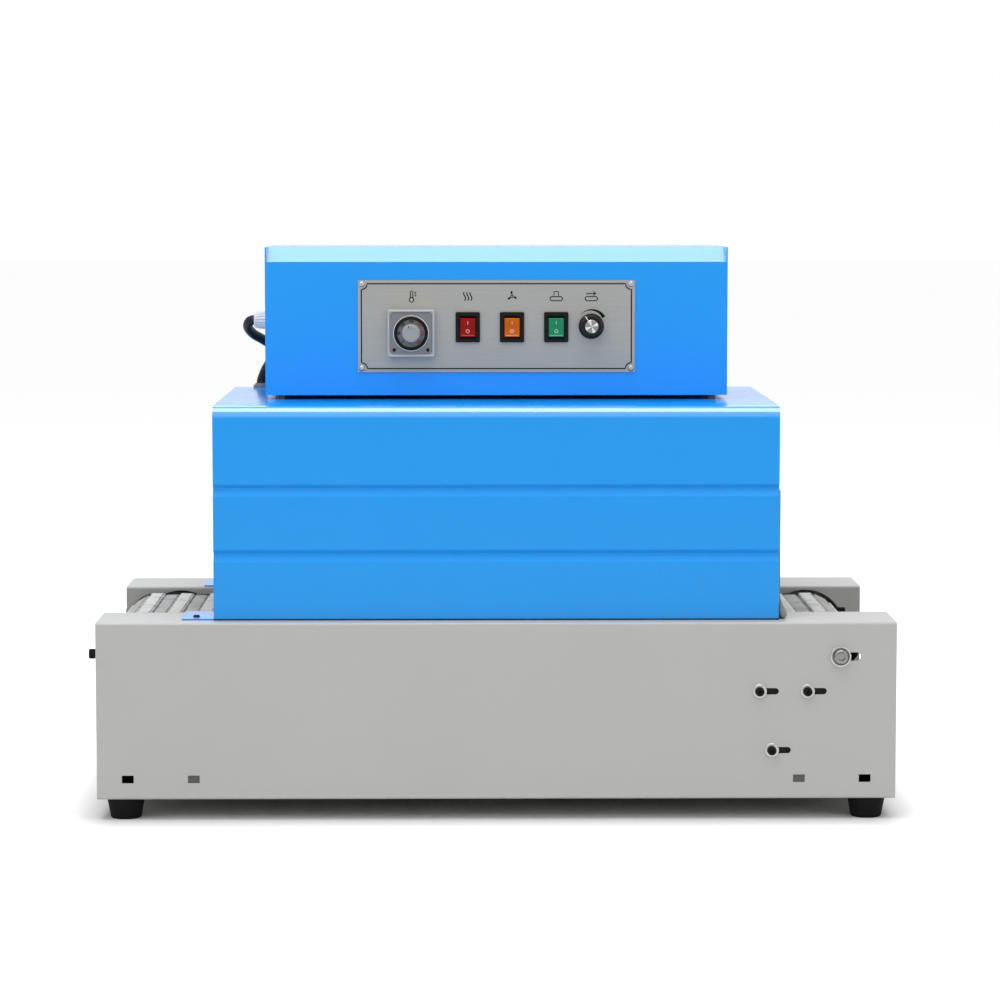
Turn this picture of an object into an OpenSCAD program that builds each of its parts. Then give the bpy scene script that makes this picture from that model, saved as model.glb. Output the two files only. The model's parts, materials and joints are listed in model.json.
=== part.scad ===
// Bench heat shrink tunnel: two folded side rails, a rod belt, a blue hood and a control box on top.
// Millimetres, +X along the belt, +Y away from the control side, +Z up, floor at z = 0.

/* [Frame] */
// Length of the side rails
frame_length = 800; // [600:10:1200]
// Width over both rails
frame_width = 400; // [360:5:520]
// Height of a rail above its feet
rail_height = 178; // [150:1:240]
// Width of a rail's top flange
rail_flange = 88; // [70:1:110]
// Thickness of the folded rail sheet
rail_sheet = 1.5; // [1:0.1:3]
// Outer bend radius of the rail sheet
rail_bend = 2.6; // [1.8:0.1:5]
// Depth of a rail's inner skirt below the top
skirt_depth = 104; // [96:1:125]
// Width of the lip along the foot of a rail
lip_width = 44; // [40:1:60]
// Height of a rubber foot
foot_height = 21; // [12:1:35]
// Top diameter of a rubber foot
foot_top = 38.5; // [28:0.5:44]
// Bottom diameter of a rubber foot
foot_bottom = 31; // [22:1:40]
// Distance of a foot from the end of the frame
foot_inset_x = 27; // [22:1:80]
// Distance of a foot from the face of the rail
foot_inset_y = 21; // [20:1:30]
// Distance of a cross member from the end of the frame
cross_inset = 97; // [80:1:120]
// Width of a cross member
cross_width = 32; // [24:1:40]
// Height of a cross member
cross_height = 34; // [28:1:38]
// Distance of the outer web holes from the end of the frame
hole_inset = 31; // [24:1:50]
// Width of a small web hole
hole_width = 11.8; // [6:0.1:14]
// Height of a small web hole
hole_height = 7.8; // [4:0.1:10]
// Height of the small web holes above the rail foot
hole_up = 16.6; // [10:0.1:22]

/* [Belt] */
// Distance of the drive shaft from the end of the frame
drive_inset = 56; // [50:0.5:70]
// Distance of the idler shaft from the end of the frame
idler_inset = 31.5; // [31.5:0.5:45]
// Shaft axis below the rail top
shaft_drop = 34.6; // [33:0.1:38]
// Wanted distance between neighbouring rods
rod_space = 16; // [15.6:0.1:16.4]
// Position of the belt along its loop, in rod distances
belt_run = 0.2; // [0:0.05:1]
// Teeth on each sprocket
sprocket_teeth = 9; // [9:2:9]
// Diameter of a belt rod
rod_d = 5; // [4:0.1:5.4]
// Gap between neighbouring sleeves
sleeve_space = 0.4; // [0.3:0.1:2]
// Top of the higher sleeves above their rods
sleeve_high = 5.1; // [4:0.1:5.4]
// Top of the lower sleeves above their rods
sleeve_low = 3.4; // [3.2:0.1:4]
// Gap between a sleeve's end and the rail skirt
sleeve_gap = 3; // [2:0.5:10]
// Thickness of one chain plate
plate_thick = 1.6; // [1:0.1:2]
// Height of one chain plate
plate_height = 9; // [8:0.5:9.5]
// Distance from the skirt to the chain
chain_gap = 9; // [6:0.5:14]
// Thickness of a sprocket
sprocket_thick = 4; // [3:0.5:6]
// Diameter of the belt shafts
shaft_d = 20; // [14:1:22]
// Radius of the round cut-outs in the skirts
arch_r = 43; // [40:0.5:46]
// Distance of the round cut-outs from the end of the frame
arch_inset = 60; // [55:1:80]
// Sheet left above the round cut-outs
arch_rim = 3.8; // [3:0.1:6]
// Distance of the square drive notch from the end of the frame
notch_inset = 16; // [12:0.5:24]
// Height of the square drive notch
notch_height = 22.8; // [20:0.1:26]
// Distance of the tension screws behind the rail face
tension_back = 30; // [24:0.5:44]
// Gap under the head of the front tension screw
tension_gap = 3.5; // [2:0.1:8]

/* [Motor mount] */
// Distance of the first motor screw from the end of the frame
motor_inset = 137; // [125:0.5:150]
// Distance between the two upper motor screws
motor_pitch = 48; // [40:0.5:56]
// Upper motor screws below the rail top
motor_drop = 69.5; // [64:0.5:76]
// Lower motor screw beside the first one
motor_side = 12.5; // [6:0.5:24]
// Lower motor screw below the upper ones
motor_low = 59.5; // [50:0.5:64]
// Run of a motor slot
motor_slot = 16; // [8:0.5:18]
// Sheet round the motor screws
motor_margin = 13; // [10:0.5:16]

/* [Hood] */
// Length of the hood along the belt
hood_length = 567; // [420:1:700]
// Hood face behind the rail face
hood_inset = 21; // [12:1:24]
// Height of the hood above the rails
hood_height = 215; // [180:1:260]
// Radius of the hood's long top edges
hood_edge = 10; // [6:0.5:16]
// Thickness of the hood sheet
hood_sheet = 1.5; // [1:0.1:2.5]
// Gap under the long edges of the hood
hood_gap = 0.3; // [0.2:0.1:1]
// Depth of the pressed grooves
groove_depth = 6; // [3:0.5:9]
// Height of the upper groove's centre above the rails
groove_high = 131; // [110:1:150]
// Height of the lower groove's centre above the rails
groove_low = 65; // [40:1:85]
// Height of one groove
groove_width = 13; // [9:0.5:18]
// Width of the tunnel mouth
mouth_width = 260; // [236:1:270]
// Height of the tunnel mouth above the rails
mouth_height = 120; // [90:1:150]
// Length of the left foot tabs
tab_length = 32; // [24:1:40]
// Tab screw behind the hood face
tab_screw_in = 19; // [12:0.5:40]
// Width of a cloth strip beside the exit
cloth_width = 40; // [20:1:44]
// Thickness of a cloth strip
cloth_sheet = 1.6; // [1:0.1:2.5]
// How far the hem of a cloth strip stands out
cloth_out = 9.2; // [6:0.1:14]

/* [Control box] */
// Control box offset from the middle
box_mid = 1.2; // [-5:0.1:5]
// Length of the control box
box_length = 476; // [420:1:520]
// Depth of the control box
box_depth = 160; // [130:1:200]
// Distance of the box front from the middle plane
box_front = 66; // [55:1:90]
// Height of the vertical front
box_wall = 137; // [125:1:160]
// Rise of the sloping strip above the front
box_slope_rise = 15; // [8:0.5:20]
// Depth of the sloping strip
box_slope_depth = 48; // [30:1:60]
// Thickness of the box sheet
box_sheet = 1.5; // [1:0.1:2]
// Height of the spacers under the box
spacer_height = 4.5; // [3:0.5:12]

/* [Controls] */
// Width of the control plate
plate_width = 285; // [280:1:320]
// Height of the control plate
plate_tall = 94.5; // [86:0.5:110]
// Height of the plate's centre above the box floor
plate_up = 71; // [60:0.5:75]
// Thickness of the control plate
plate_sheet = 1.2; // [0.8:0.1:2]
// Side of the temperature controller's bezel
temp_size = 48; // [48:1:49]
// Controller centre left of the middle
temp_x = 87.8; // [84:0.1:96]
// Controller centre below the plate's centre
temp_drop = 7; // [0:0.5:12]
// Width of a switch bezel
switch_w = 25; // [24:0.1:27]
// Height of a switch bezel
switch_h = 31; // [29:0.1:33]
// Distance of the left switch from the plate's middle
switch_left = 29.5; // [28:0.1:33]
// Switch centres below the plate's centre
switch_drop = 1; // [0:0.1:4]
// Distance between neighbouring switches
switch_pitch = 45.5; // [40:0.1:48]
// Swing of a switch rocker in degrees
rocker_swing = 14; // [8:1:18]
// Diameter of the speed knob
knob_d = 26; // [20:0.5:30]
// Speed knob centre right of the middle
knob_x = 97.6; // [94:0.1:106]

/* [Cable] */
// Diameter of the cable
cable_d = 10.5; // [7:0.5:12]
// Height of the cable gland above the box floor
gland_up = 72.5; // [60:0.5:100]
// Distance of the gland behind the box front
gland_back = 141; // [120:1:146]
// Outer diameter of the cable gland
gland_d = 22; // [20:0.5:24]
// Length of the cable gland outside the box
gland_long = 20; // [14:0.5:24]
// Cable bushing left of the box
bushing_side = 17.5; // [12:0.5:30]
// Cable bushing in front of the hood's back
bushing_in = 22; // [20:0.5:50]

/* [Hidden] */
$fn = 48;
eps = 0.01;
clear = 0.25;
rail_top = foot_height + rail_height;
half_l = frame_length / 2;
half_w = frame_width / 2;
skirt_y = half_w - rail_flange;
screw_d = 6;
screw_head = 6;
screw_head_d = 10;
head_out = screw_head + tension_gap;
motor_screw_d = 5;
motor_sheet = 3;
bolt_d = 8;
shift_x = head_out / 2;
shaft_z = rail_top - shaft_drop;
drive_x = half_l - drive_inset;
idler_x = half_l - idler_inset;
arch_x = half_l - arch_inset;
cross_x = half_l - cross_inset;
span = drive_x + idler_x;
rod_count = 2 * round(span / rod_space + sprocket_teeth / 2);
rod_pitch = 2 * span / (rod_count - sprocket_teeth);
rod_r = rod_pitch * sprocket_teeth / (2 * PI);
run_n = span / rod_pitch;
tooth = 360 / sprocket_teeth;
sleeve_width = rod_pitch - sleeve_space;
sleeve_wall = 0.5;
arch_z = rail_top - arch_rim - arch_r;
slot_top = shaft_z + rod_r + rod_d / 2 + 1.2;
slot_low = shaft_z - rod_r - rod_d / 2 - 6;
belt_cut = rod_r + rod_d / 2 + 2;
chain_y = skirt_y + chain_gap;
rod_half = chain_y + 2 * plate_thick + 2.2;
hood_y = half_w - hood_inset;
hood_x = hood_length / 2;
hood_top = rail_top + hood_height;
box_z = hood_top + spacer_height;
box_x = box_length / 2;
box_left = box_mid - box_x;
box_right = box_mid + box_x;
box_y0 = -box_front;
box_y1 = box_depth - box_front;
box_top = box_z + box_wall + box_slope_rise;
plate_z = box_z + plate_up;
face_y = box_y0 - plate_sheet;
temp_z = plate_z - temp_drop;
knob_z = plate_z;
switch_z = plate_z - switch_drop;
temp_at = box_mid - temp_x;
knob_at = box_mid + knob_x;
grey = [0.70, 0.70, 0.69];
blue = [0.16, 0.58, 0.92];
steel = [0.78, 0.79, 0.80];
black = [0.06, 0.06, 0.07];
cloth = [0.86, 0.86, 0.83];

// Rectangle with round corners, built from plain shapes
module round_rect(x0, y0, x1, y1, r) {
    translate([x0 + r, y0])
        square([x1 - x0 - 2 * r, y1 - y0]);
    translate([x0, y0 + r])
        square([x1 - x0, y1 - y0 - 2 * r]);
    for (x = [x0 + r, x1 - r])
        for (y = [y0 + r, y1 - r])
            translate([x, y])
                circle(r);
}

// Slot with round ends, along x
module slot(x0, x1, y, h) {
    translate([x0, y - h / 2])
        square([x1 - x0, h]);
    for (x = [x0, x1])
        translate([x, y])
            circle(h / 2);
}

// Extrudes a side view (x, z) between two y values
module along_y(y0, y1) {
    translate([shift_x, y1, 0])
        rotate([90, 0, 0])
            linear_extrude(y1 - y0)
                children();
}

// Extrudes an end view (y, z) between two x values
module along_x(x0, x1) {
    translate([x0 + shift_x, 0, 0])
        rotate([90, 0, 90])
            linear_extrude(x1 - x0)
                children();
}

// Places a piece in the frame
module at(x, y, z) {
    translate([x + shift_x, y, z])
        children();
}

// End view of the near rail: web, top flange, skirt and foot lip
module rail_section() {
    difference() {
        round_rect(-half_w, foot_height, -skirt_y, rail_top, rail_bend);
        round_rect(-half_w + rail_sheet, foot_height + rail_sheet, -skirt_y - rail_sheet,
            rail_top - rail_sheet, rail_bend - rail_sheet);
        translate([-half_w + lip_width, foot_height - 1])
            square([rail_flange, rail_height - skirt_depth + 1]);
    }
}

// Cut-outs of a skirt seen from the side
module skirt_cuts() {
    for (x = [-arch_x, arch_x])
        translate([x, arch_z])
            circle(arch_r);
    translate([-arch_x, slot_low])
        square([2 * arch_x, slot_top - slot_low]);
    for (x = [-idler_x, drive_x])
        translate([x, shaft_z])
            circle(belt_cut);
    translate([drive_x, shaft_z - notch_height / 2])
        square([drive_inset - notch_inset, notch_height]);
}

// Holes of the near web seen from the side
module web_cuts(motor) {
    slot(drive_x - 3, drive_x + 2 * bolt_d, shaft_z, bolt_d + 2 * clear);
    for (x = [hole_inset - half_l, -cross_x, cross_x, half_l - hole_inset])
        translate([x - hole_width / 2, foot_height + hole_up])
            square([hole_width, hole_height]);
    if (motor)
        for (p = motor_holes)
            slot(p[0], p[0] + motor_slot, p[1], motor_screw_d + 6 * clear);
}

motor_x = half_l - motor_inset;
motor_z = rail_top - motor_drop;
motor_holes = [[motor_x, motor_z], [motor_x + motor_pitch, motor_z],
    [motor_x + motor_side, motor_z - motor_low]];

module rail(motor) {
    difference() {
        along_x(-half_l, half_l)
            rail_section();
        along_y(-skirt_y - rail_sheet - 1, -skirt_y + 1)
            skirt_cuts();
        along_y(-half_w - 1, -half_w + rail_sheet + 1)
            web_cuts(motor);
    }
    difference() {
        for (x = [-half_l, half_l - rail_sheet])
            along_x(x, x + rail_sheet)
                round_rect(-half_w, foot_height, -skirt_y, rail_top, rail_bend);
        at(-half_l - 1, -half_w + tension_back, shaft_z)
            rotate([0, 90, 0])
                cylinder(d = screw_d + 2 * clear, h = rail_sheet + 2);
    }
}

module front_rail() {
    color(grey)
        rail(true);
}

module rear_rail() {
    color(grey)
        mirror([0, 1, 0])
            rail(false);
}

cross_sheet = 2;
cover_sheet = 1.5;

// Channel between the webs, open below
module cross_member(x) {
    z0 = foot_height + rail_sheet + cover_sheet;
    long = frame_width - 2 * rail_sheet;
    difference() {
        at(x - cross_width / 2, -long / 2, z0)
            cube([cross_width, long, cross_height]);
        at(x - cross_width / 2 + cross_sheet, -long / 2 + cross_sheet, z0 - 1)
            cube([cross_width - 2 * cross_sheet, long - 2 * cross_sheet, cross_height - cross_sheet + 1]);
    }
}

module cross_member_left() {
    color(grey)
        cross_member(-cross_x);
}

module cross_member_right() {
    color(grey)
        cross_member(cross_x);
}

module rubber_feet() {
    color(black)
        for (sx = [-1, 1])
            for (sy = [-1, 1])
                at(sx * (half_l - foot_inset_x), sy * (half_w - foot_inset_y), 0)
                    cylinder(d1 = foot_bottom, d2 = foot_top, h = foot_height);
}

// Plate that closes the underside, on the rail lips
module bottom_cover() {
    long = frame_length - 2 * (rail_sheet + clear);
    wide = frame_width - 2 * (rail_bend + clear);
    color(grey)
        at(-long / 2, -wide / 2, foot_height + rail_sheet)
            cube([long, wide, cover_sheet]);
}

// Point on the belt loop: x, z and the outward angle, for a distance in pitches
function loop_at(s) =
    let (t = (s + belt_run) % rod_count, half_n = rod_count / 2)
    t <= run_n ? [-idler_x + t * rod_pitch, shaft_z + rod_r, 90] :
    t <= half_n ? arc_at(drive_x, 90 - (t - run_n) * tooth) :
    t <= half_n + run_n ? [drive_x - (t - half_n) * rod_pitch, shaft_z - rod_r, -90] :
    arc_at(-idler_x, -90 - (t - half_n - run_n) * tooth);

function arc_at(x, a) = [x + rod_r * cos(a), shaft_z + rod_r * sin(a), a];

module belt_rods() {
    color(cloth)
        for (i = [0 : rod_count - 1]) {
            p = loop_at(i);
            top = i % 2 == 0 ? sleeve_high : sleeve_low;
            along_y(-skirt_y + sleeve_gap, skirt_y - sleeve_gap)
                translate([p[0], p[1]])
                    rotate(p[2] - 90)
                        round_rect(-sleeve_width / 2, -rod_d / 2 - sleeve_wall, sleeve_width / 2, top,
                            rod_d / 2);
            along_y(-rod_half, rod_half)
                translate([p[0], p[1]])
                    circle(d = rod_d);
        }
}

// One chain: plates in two rows, each between two rods
module chain() {
    for (i = [0 : rod_count - 1]) {
        a = loop_at(i);
        b = loop_at(i + 1);
        y = chain_y + (i % 2) * (plate_thick + clear);
        ang = atan2(b[1] - a[1], b[0] - a[0]);
        len = norm([b[0] - a[0], b[1] - a[1]]);
        along_y(y, y + plate_thick)
            translate([a[0], a[1]])
                rotate(ang)
                    difference() {
                        slot(0, len, 0, plate_height);
                        for (x = [0, len])
                            translate([x, 0])
                                circle(d = rod_d + 2 * clear);
                    }
    }
}

module front_chain() {
    color(steel)
        mirror([0, 1, 0])
            chain();
}

module rear_chain() {
    color(steel)
        chain();
}

module shaft(x) {
    at(x, -half_w + rail_sheet, shaft_z)
        rotate([-90, 0, 0])
            cylinder(d = shaft_d, h = frame_width - 2 * rail_sheet);
}

module drive_shaft() {
    color(steel)
        shaft(drive_x);
}

module idler_shaft() {
    color(steel)
        at(-idler_x, -half_w + tension_back - block_wide / 2, shaft_z)
            rotate([-90, 0, 0])
                cylinder(d = shaft_d, h = frame_width - 2 * tension_back + block_wide);
}

// Toothed wheels inboard of the chains, one at each end of a shaft
module sprockets(x, turn) {
    for (s = [-1, 1])
        along_y(s > 0 ? chain_y - clear - sprocket_thick : -chain_y + clear,
            s > 0 ? chain_y - clear : -chain_y + clear + sprocket_thick)
            translate([x, shaft_z])
                difference() {
                    circle(rod_r + 1.4);
                    circle(d = shaft_d);
                    for (i = [0 : sprocket_teeth - 1])
                        rotate(turn + i * tooth)
                            translate([rod_r, 0])
                                circle(d = rod_d + 4 * clear);
                }
}

module drive_sprockets() {
    color(steel)
        sprockets(drive_x, 90 + (run_n - belt_run) * tooth);
}

module idler_sprockets() {
    color(steel)
        sprockets(-idler_x, -90 + (rod_count / 2 + run_n - belt_run) * tooth);
}

// Washer and hex socket head on the face of a rail
module face_bolt(x, z, washer, washer_t, head, head_t, socket, shank, shank_in) {
    at(x, -half_w, z)
        rotate([90, 0, 0]) {
            translate([0, 0, -shank_in])
                cylinder(d = shank, h = shank_in + 1);
            cylinder(d = washer, h = washer_t);
            difference() {
                cylinder(d = head, h = washer_t + head_t);
                translate([0, 0, washer_t + head_t - head_t * 0.6])
                    cylinder(d = socket, h = head_t, $fn = 6);
            }
        }
}

module shaft_bolts() {
    color(steel)
        for (s = [0, 1])
            mirror([0, s, 0])
                face_bolt(drive_x, shaft_z, 2.6 * bolt_d, 1.6, 1.9 * bolt_d, 5, bolt_d, bolt_d, rail_sheet);
}

block_wide = 24;
block_long = shaft_d * 1.5;
block_tall = shaft_d * 2;

module idler_blocks() {
    color(steel)
        for (s = [0, 1])
            mirror([0, s, 0])
                difference() {
                    at(-idler_x - block_long / 2, -half_w + tension_back - block_wide / 2,
                        shaft_z - block_tall / 2)
                        cube([block_long, block_wide, block_tall]);
                    shaft(-idler_x);
                }
}

// Socket head screw that pulls on an idler block
module tension_screw(out) {
    at(-half_l - out, -half_w + tension_back, shaft_z)
        rotate([0, 90, 0]) {
            difference() {
                cylinder(d = screw_head_d, h = screw_head);
                translate([0, 0, -1])
                    cylinder(d = 5.8, h = screw_head / 2 + 1, $fn = 6);
            }
            translate([0, 0, screw_head / 2 + 0.2])
                cylinder(d = screw_d, h = out - screw_head / 2 - 0.2 + idler_inset - block_long / 2);
        }
}

module tension_screws() {
    color(black) {
        tension_screw(head_out);
        mirror([0, 1, 0])
            tension_screw(screw_head);
    }
}

module motor_plate() {
    color(black)
        along_y(-half_w + rail_sheet, -half_w + rail_sheet + motor_sheet)
            difference() {
                translate([motor_x - motor_margin, motor_z - motor_low - motor_margin / 2])
                    square([motor_pitch + motor_slot + 1.5 * motor_margin, motor_low + 1.5 * motor_margin]);
                for (p = motor_holes)
                    translate(p)
                        circle(d = motor_screw_d + 2 * clear);
            }
}

module motor_screws() {
    color(steel)
        for (p = motor_holes)
            face_bolt(p[0], p[1], 2.9 * motor_screw_d, 1.2, 1.8 * motor_screw_d, 4, motor_screw_d,
                motor_screw_d, rail_sheet + motor_sheet + 2);
}

// End view of the hood's outer face, shrunk by a distance
module hood_outline(c) {
    y = hood_y - c;
    difference() {
        union() {
            round_rect(-y, rail_top + hood_gap, y, hood_top - c, hood_edge - c);
            translate([-y, rail_top + hood_gap])
                square([2 * y, hood_edge]);
        }
        for (s = [-1, 1])
            for (g = [groove_high, groove_low])
                polygon([[s * (y + 1), rail_top + g + groove_width / 2],
                    [s * y, rail_top + g + groove_width / 2],
                    [s * (y - groove_depth), rail_top + g],
                    [s * y, rail_top + g - groove_width / 2],
                    [s * (y + 1), rail_top + g - groove_width / 2]]);
    }
}

module hood_skin() {
    color(blue)
        along_x(-hood_x, hood_x)
            difference() {
                hood_outline(0);
                hood_outline(hood_sheet);
                translate([-hood_y + hood_sheet, rail_top])
                    square([2 * (hood_y - hood_sheet), hood_edge]);
            }
}

// End wall of the hood with the tunnel mouth
module hood_end(x) {
    along_x(x, x + hood_sheet)
        difference() {
            hood_outline(hood_sheet);
            translate([-mouth_width / 2, rail_top])
                square([mouth_width, mouth_height]);
        }
}

tab_screw_x = hood_x + tab_length * 0.58;

module hood_left_end() {
    color(blue) {
        hood_end(-hood_x);
        for (s = [-1, 1])
            difference() {
                at(-hood_x - tab_length, s > 0 ? skirt_y + 2 : -hood_y + hood_sheet + clear, rail_top)
                    cube([tab_length + hood_sheet, hood_y - skirt_y - 2 - hood_sheet - clear, hood_sheet]);
                at(-tab_screw_x, s * (hood_y - tab_screw_in), rail_top - 1)
                    cylinder(d = motor_screw_d, h = 6);
            }
    }
}

module hood_right_end() {
    color(blue) {
        hood_end(hood_x - hood_sheet);
        for (s = [-1, 1])
            at(hood_x - tab_length, s > 0 ? mouth_width / 2 + 4 : -hood_y + 6, rail_top)
                cube([tab_length, hood_y - mouth_width / 2 - 10, hood_sheet]);
    }
}

module tab_screws() {
    color(black)
        for (s = [-1, 1])
            at(-tab_screw_x, s * (hood_y - tab_screw_in), rail_top + hood_sheet) {
                translate([0, 0, -hood_sheet])
                    cylinder(d = motor_screw_d - 2 * clear, h = hood_sheet + 1);
                cylinder(d1 = 1.5 * motor_screw_d, d2 = motor_screw_d, h = 1.8);
            }
}

cloth_top = rail_top + mouth_height + 10;

// Heavy cloth strips beside the exit, flat on the end wall with a thick hem on the rails
module exit_cloths() {
    color(cloth)
        for (s = [0, 1])
            mirror([0, s, 0])
                along_y(-hood_y + 5, -hood_y + 5 + cloth_width)
                    translate([hood_x, rail_top])
                        polygon([[0, cloth_top - rail_top], [cloth_sheet, cloth_top - rail_top],
                            [cloth_sheet, 24], [cloth_out * 0.3, 18.5], [cloth_out * 0.52, 14],
                            [cloth_out * 0.77, 9.5], [cloth_out * 0.96, 6], [cloth_out, 3.6],
                            [cloth_out * 0.88, 1.4], [cloth_out * 0.62, 0.4], [cloth_out * 0.38, 1.2],
                            [cloth_out * 0.2, 3.4], [cloth_out * 0.08, 9], [0, 18]]);
}

liner_x = hood_x - hood_sheet;

module liner_ceiling() {
    color(steel)
        at(-liner_x, -mouth_width / 2 - 3, rail_top + mouth_height + 2)
            cube([2 * liner_x, mouth_width + 6, 2]);
}

module liner_wall(y) {
    at(-liner_x, y, rail_top)
        cube([2 * liner_x, 2, mouth_height + 2]);
}

module liner_front_wall() {
    color(steel)
        liner_wall(-mouth_width / 2 - 3);
}

module liner_rear_wall() {
    color(steel)
        liner_wall(mouth_width / 2 + 1);
}

// End view of the control box
module box_outline(c) {
    polygon([[box_y0 + c, box_z + c], [box_y0 + c, box_z + box_wall - c * 0.4],
        [box_y0 + box_slope_depth + c * 0.2, box_top - c], [box_y1 - c, box_top - c],
        [box_y1 - c, box_z + c]]);
}

cheek = box_sheet;

// Holes through the box front and the control plate
module panel_holes() {
    translate([temp_at - temp_body / 2 - clear, temp_z - temp_body / 2 - clear])
        square(temp_body + 2 * clear);
    for (i = [0, 1, 2])
        translate([switch_x(i) - body_w / 2 - clear, switch_z - body_h / 2 - clear])
            square([body_w + 2 * clear, body_h + 2 * clear]);
    translate([knob_at, knob_z])
        circle(d = knob_shaft + 8 * clear);
}

module box_shell() {
    color(blue)
        difference() {
            along_x(box_left + cheek, box_right - cheek)
                difference() {
                    box_outline(0);
                    box_outline(box_sheet);
                    translate([box_y0 + box_sheet, box_z - 1])
                        square([box_depth - 2 * box_sheet, box_sheet + 2]);
                }
            along_y(box_y0 - 1, box_y0 + box_sheet + 1)
                panel_holes();
        }
}

// Side cheek with a square front corner
module box_cheek(x) {
    along_x(x, x + cheek)
        translate([box_y0, box_z])
            square([box_depth, box_top - box_z]);
}

module box_left_cheek() {
    color(blue)
        difference() {
            box_cheek(box_left);
            at(box_left - 1, gland_y, gland_z)
                rotate([0, 90, 0])
                    cylinder(d = gland_d - 8, h = cheek + 2);
        }
}

module box_right_cheek() {
    color(blue)
        box_cheek(box_right - cheek);
}

module box_floor() {
    color(blue)
        at(box_left + cheek, box_y0 + box_sheet, box_z)
            cube([box_length - 2 * cheek, box_depth - 2 * box_sheet, box_sheet]);
}

module box_spacers() {
    color(steel)
        for (x = [box_left + 16, box_right - 16])
            for (y = [box_y0 + 14, box_y1 - 14])
                at(x, y, hood_top)
                    cylinder(d = 10, h = spacer_height);
}

module control_plate() {
    color(steel)
        along_y(face_y, box_y0)
            difference() {
                translate([box_mid - plate_width / 2, plate_z - plate_tall / 2])
                    square([plate_width, plate_tall]);
                panel_holes();
            }
}

module plate_screws() {
    color(steel)
        for (x = [-1, 1])
            for (z = [-1, 1])
                at(box_mid + x * (plate_width / 2 - 4), face_y, plate_z + z * (plate_tall / 2 - 4))
                    rotate([90, 0, 0])
                        cylinder(d1 = 6, d2 = 4.4, h = 1.6);
}

temp_body = temp_size - 5;
dial_r = temp_size / 3;
dial_y = face_y - 8;

module temp_controller() {
    color([0.85, 0.86, 0.86])
        difference() {
            union() {
                along_y(face_y - 8, face_y)
                    round_rect(temp_at - temp_size / 2, temp_z - temp_size / 2, temp_at + temp_size / 2,
                        temp_z + temp_size / 2, 2);
                along_y(face_y - eps, box_y0 + 70)
                    round_rect(temp_at - temp_body / 2, temp_z - temp_body / 2, temp_at + temp_body / 2,
                        temp_z + temp_body / 2, 1);
            }
            at(temp_at, dial_y + 4, temp_z)
                rotate([90, 0, 0])
                    cylinder(r = dial_r + 0.6, h = 6);
        }
}

module temp_dial() {
    color([0.75, 0.76, 0.76])
        at(temp_at, dial_y + 3.5, temp_z)
            rotate([90, 0, 0])
                difference() {
                    union() {
                        cylinder(r = dial_r, h = 2.5);
                        cylinder(r1 = 9.6, r2 = 9, h = 11.5);
                    }
                    translate([-0.8, 2, 10.5])
                        cube([1.6, 8, 2]);
                }
}

bezel_t = 2.4;
well = 9;
pivot_in = 2;
rocker_w = switch_w * 0.635;
rocker_h = switch_h * 0.66;
well_w = rocker_w + 0.8;
well_h = rocker_h + 2.8;
body_w = well_w + 3.5;
body_h = well_h + 3.2;

function switch_x(i) = box_mid - switch_left + i * switch_pitch;

// Bezel and body of one rocker switch, with the well for its rocker
module switch_body(i) {
    color(black)
        difference() {
            union() {
                along_y(face_y - bezel_t, face_y)
                    round_rect(switch_x(i) - switch_w / 2, switch_z - switch_h / 2,
                        switch_x(i) + switch_w / 2, switch_z + switch_h / 2, 1.5);
                along_y(face_y - eps, box_y0 + 22)
                    translate([switch_x(i) - body_w / 2, switch_z - body_h / 2])
                        square([body_w, body_h]);
            }
            along_y(face_y - bezel_t - 1, face_y + well)
                translate([switch_x(i) - well_w / 2, switch_z - well_h / 2])
                    square([well_w, well_h]);
        }
}

// Rocker with two flats that meet at the pivot, stored with its lower edge pressed in
module rocker(i, c) {
    a = rocker_swing / 2;
    h = rocker_h / 2;
    color(c)
        at(switch_x(i) - rocker_w / 2, face_y - bezel_t + pivot_in, switch_z)
            rotate([a, 0, 0])
                rotate([90, 0, 90])
                    linear_extrude(rocker_w)
                        polygon([[-pivot_in - 1.2, 0], [-pivot_in - 1.2 - h * tan(a), h],
                            [1.5, h], [4.5, 0], [1.5, -h], [-pivot_in - 1.2 - h * tan(a), -h]]);
    color(c)
        at(switch_x(i) - rocker_w / 2 - clear, face_y - bezel_t + pivot_in, switch_z)
            rotate([0, 90, 0])
                cylinder(d = 2.4, h = rocker_w + 2 * clear);
}

module red_switch() {
    switch_body(0);
}

module orange_switch() {
    switch_body(1);
}

module green_switch() {
    switch_body(2);
}

module red_rocker() {
    rocker(0, [0.85, 0.10, 0.08]);
}

module orange_rocker() {
    rocker(1, [0.95, 0.45, 0.10]);
}

module green_rocker() {
    rocker(2, [0.20, 0.75, 0.25]);
}

knob_shaft = 6;

module speed_knob() {
    color(black)
        at(knob_at, face_y - 0.5, knob_z)
            rotate([90, 0, 0]) {
                cylinder(d = knob_d, h = 3);
                cylinder(d1 = knob_d - 3, d2 = knob_d - 5, h = 14);
                translate([0, 0, -box_sheet - plate_sheet - 6])
                    cylinder(d = knob_shaft, h = box_sheet + plate_sheet + 6.5);
            }
}

module knob_cap() {
    color(steel)
        at(knob_at, face_y - 14.5, knob_z)
            rotate([90, 0, 0])
                cylinder(d = knob_d * 0.53, h = 0.8);
}

gland_y = box_y0 + gland_back;
gland_z = box_z + gland_up;

module cable_gland() {
    color([0.88, 0.88, 0.86])
        at(box_left, gland_y, gland_z)
            rotate([0, -90, 0])
                difference() {
                    union() {
                        cylinder(d = gland_d, h = 8, $fn = 6);
                        cylinder(d1 = gland_d - 3, d2 = gland_d - 6, h = gland_long);
                        translate([0, 0, -cheek - 5])
                            cylinder(d = gland_d - 8.4, h = cheek + 6);
                    }
                    translate([0, 0, -cheek - 6])
                        cylinder(d = cable_d + 2 * clear, h = gland_long + cheek + 8);
                }
}

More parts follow.
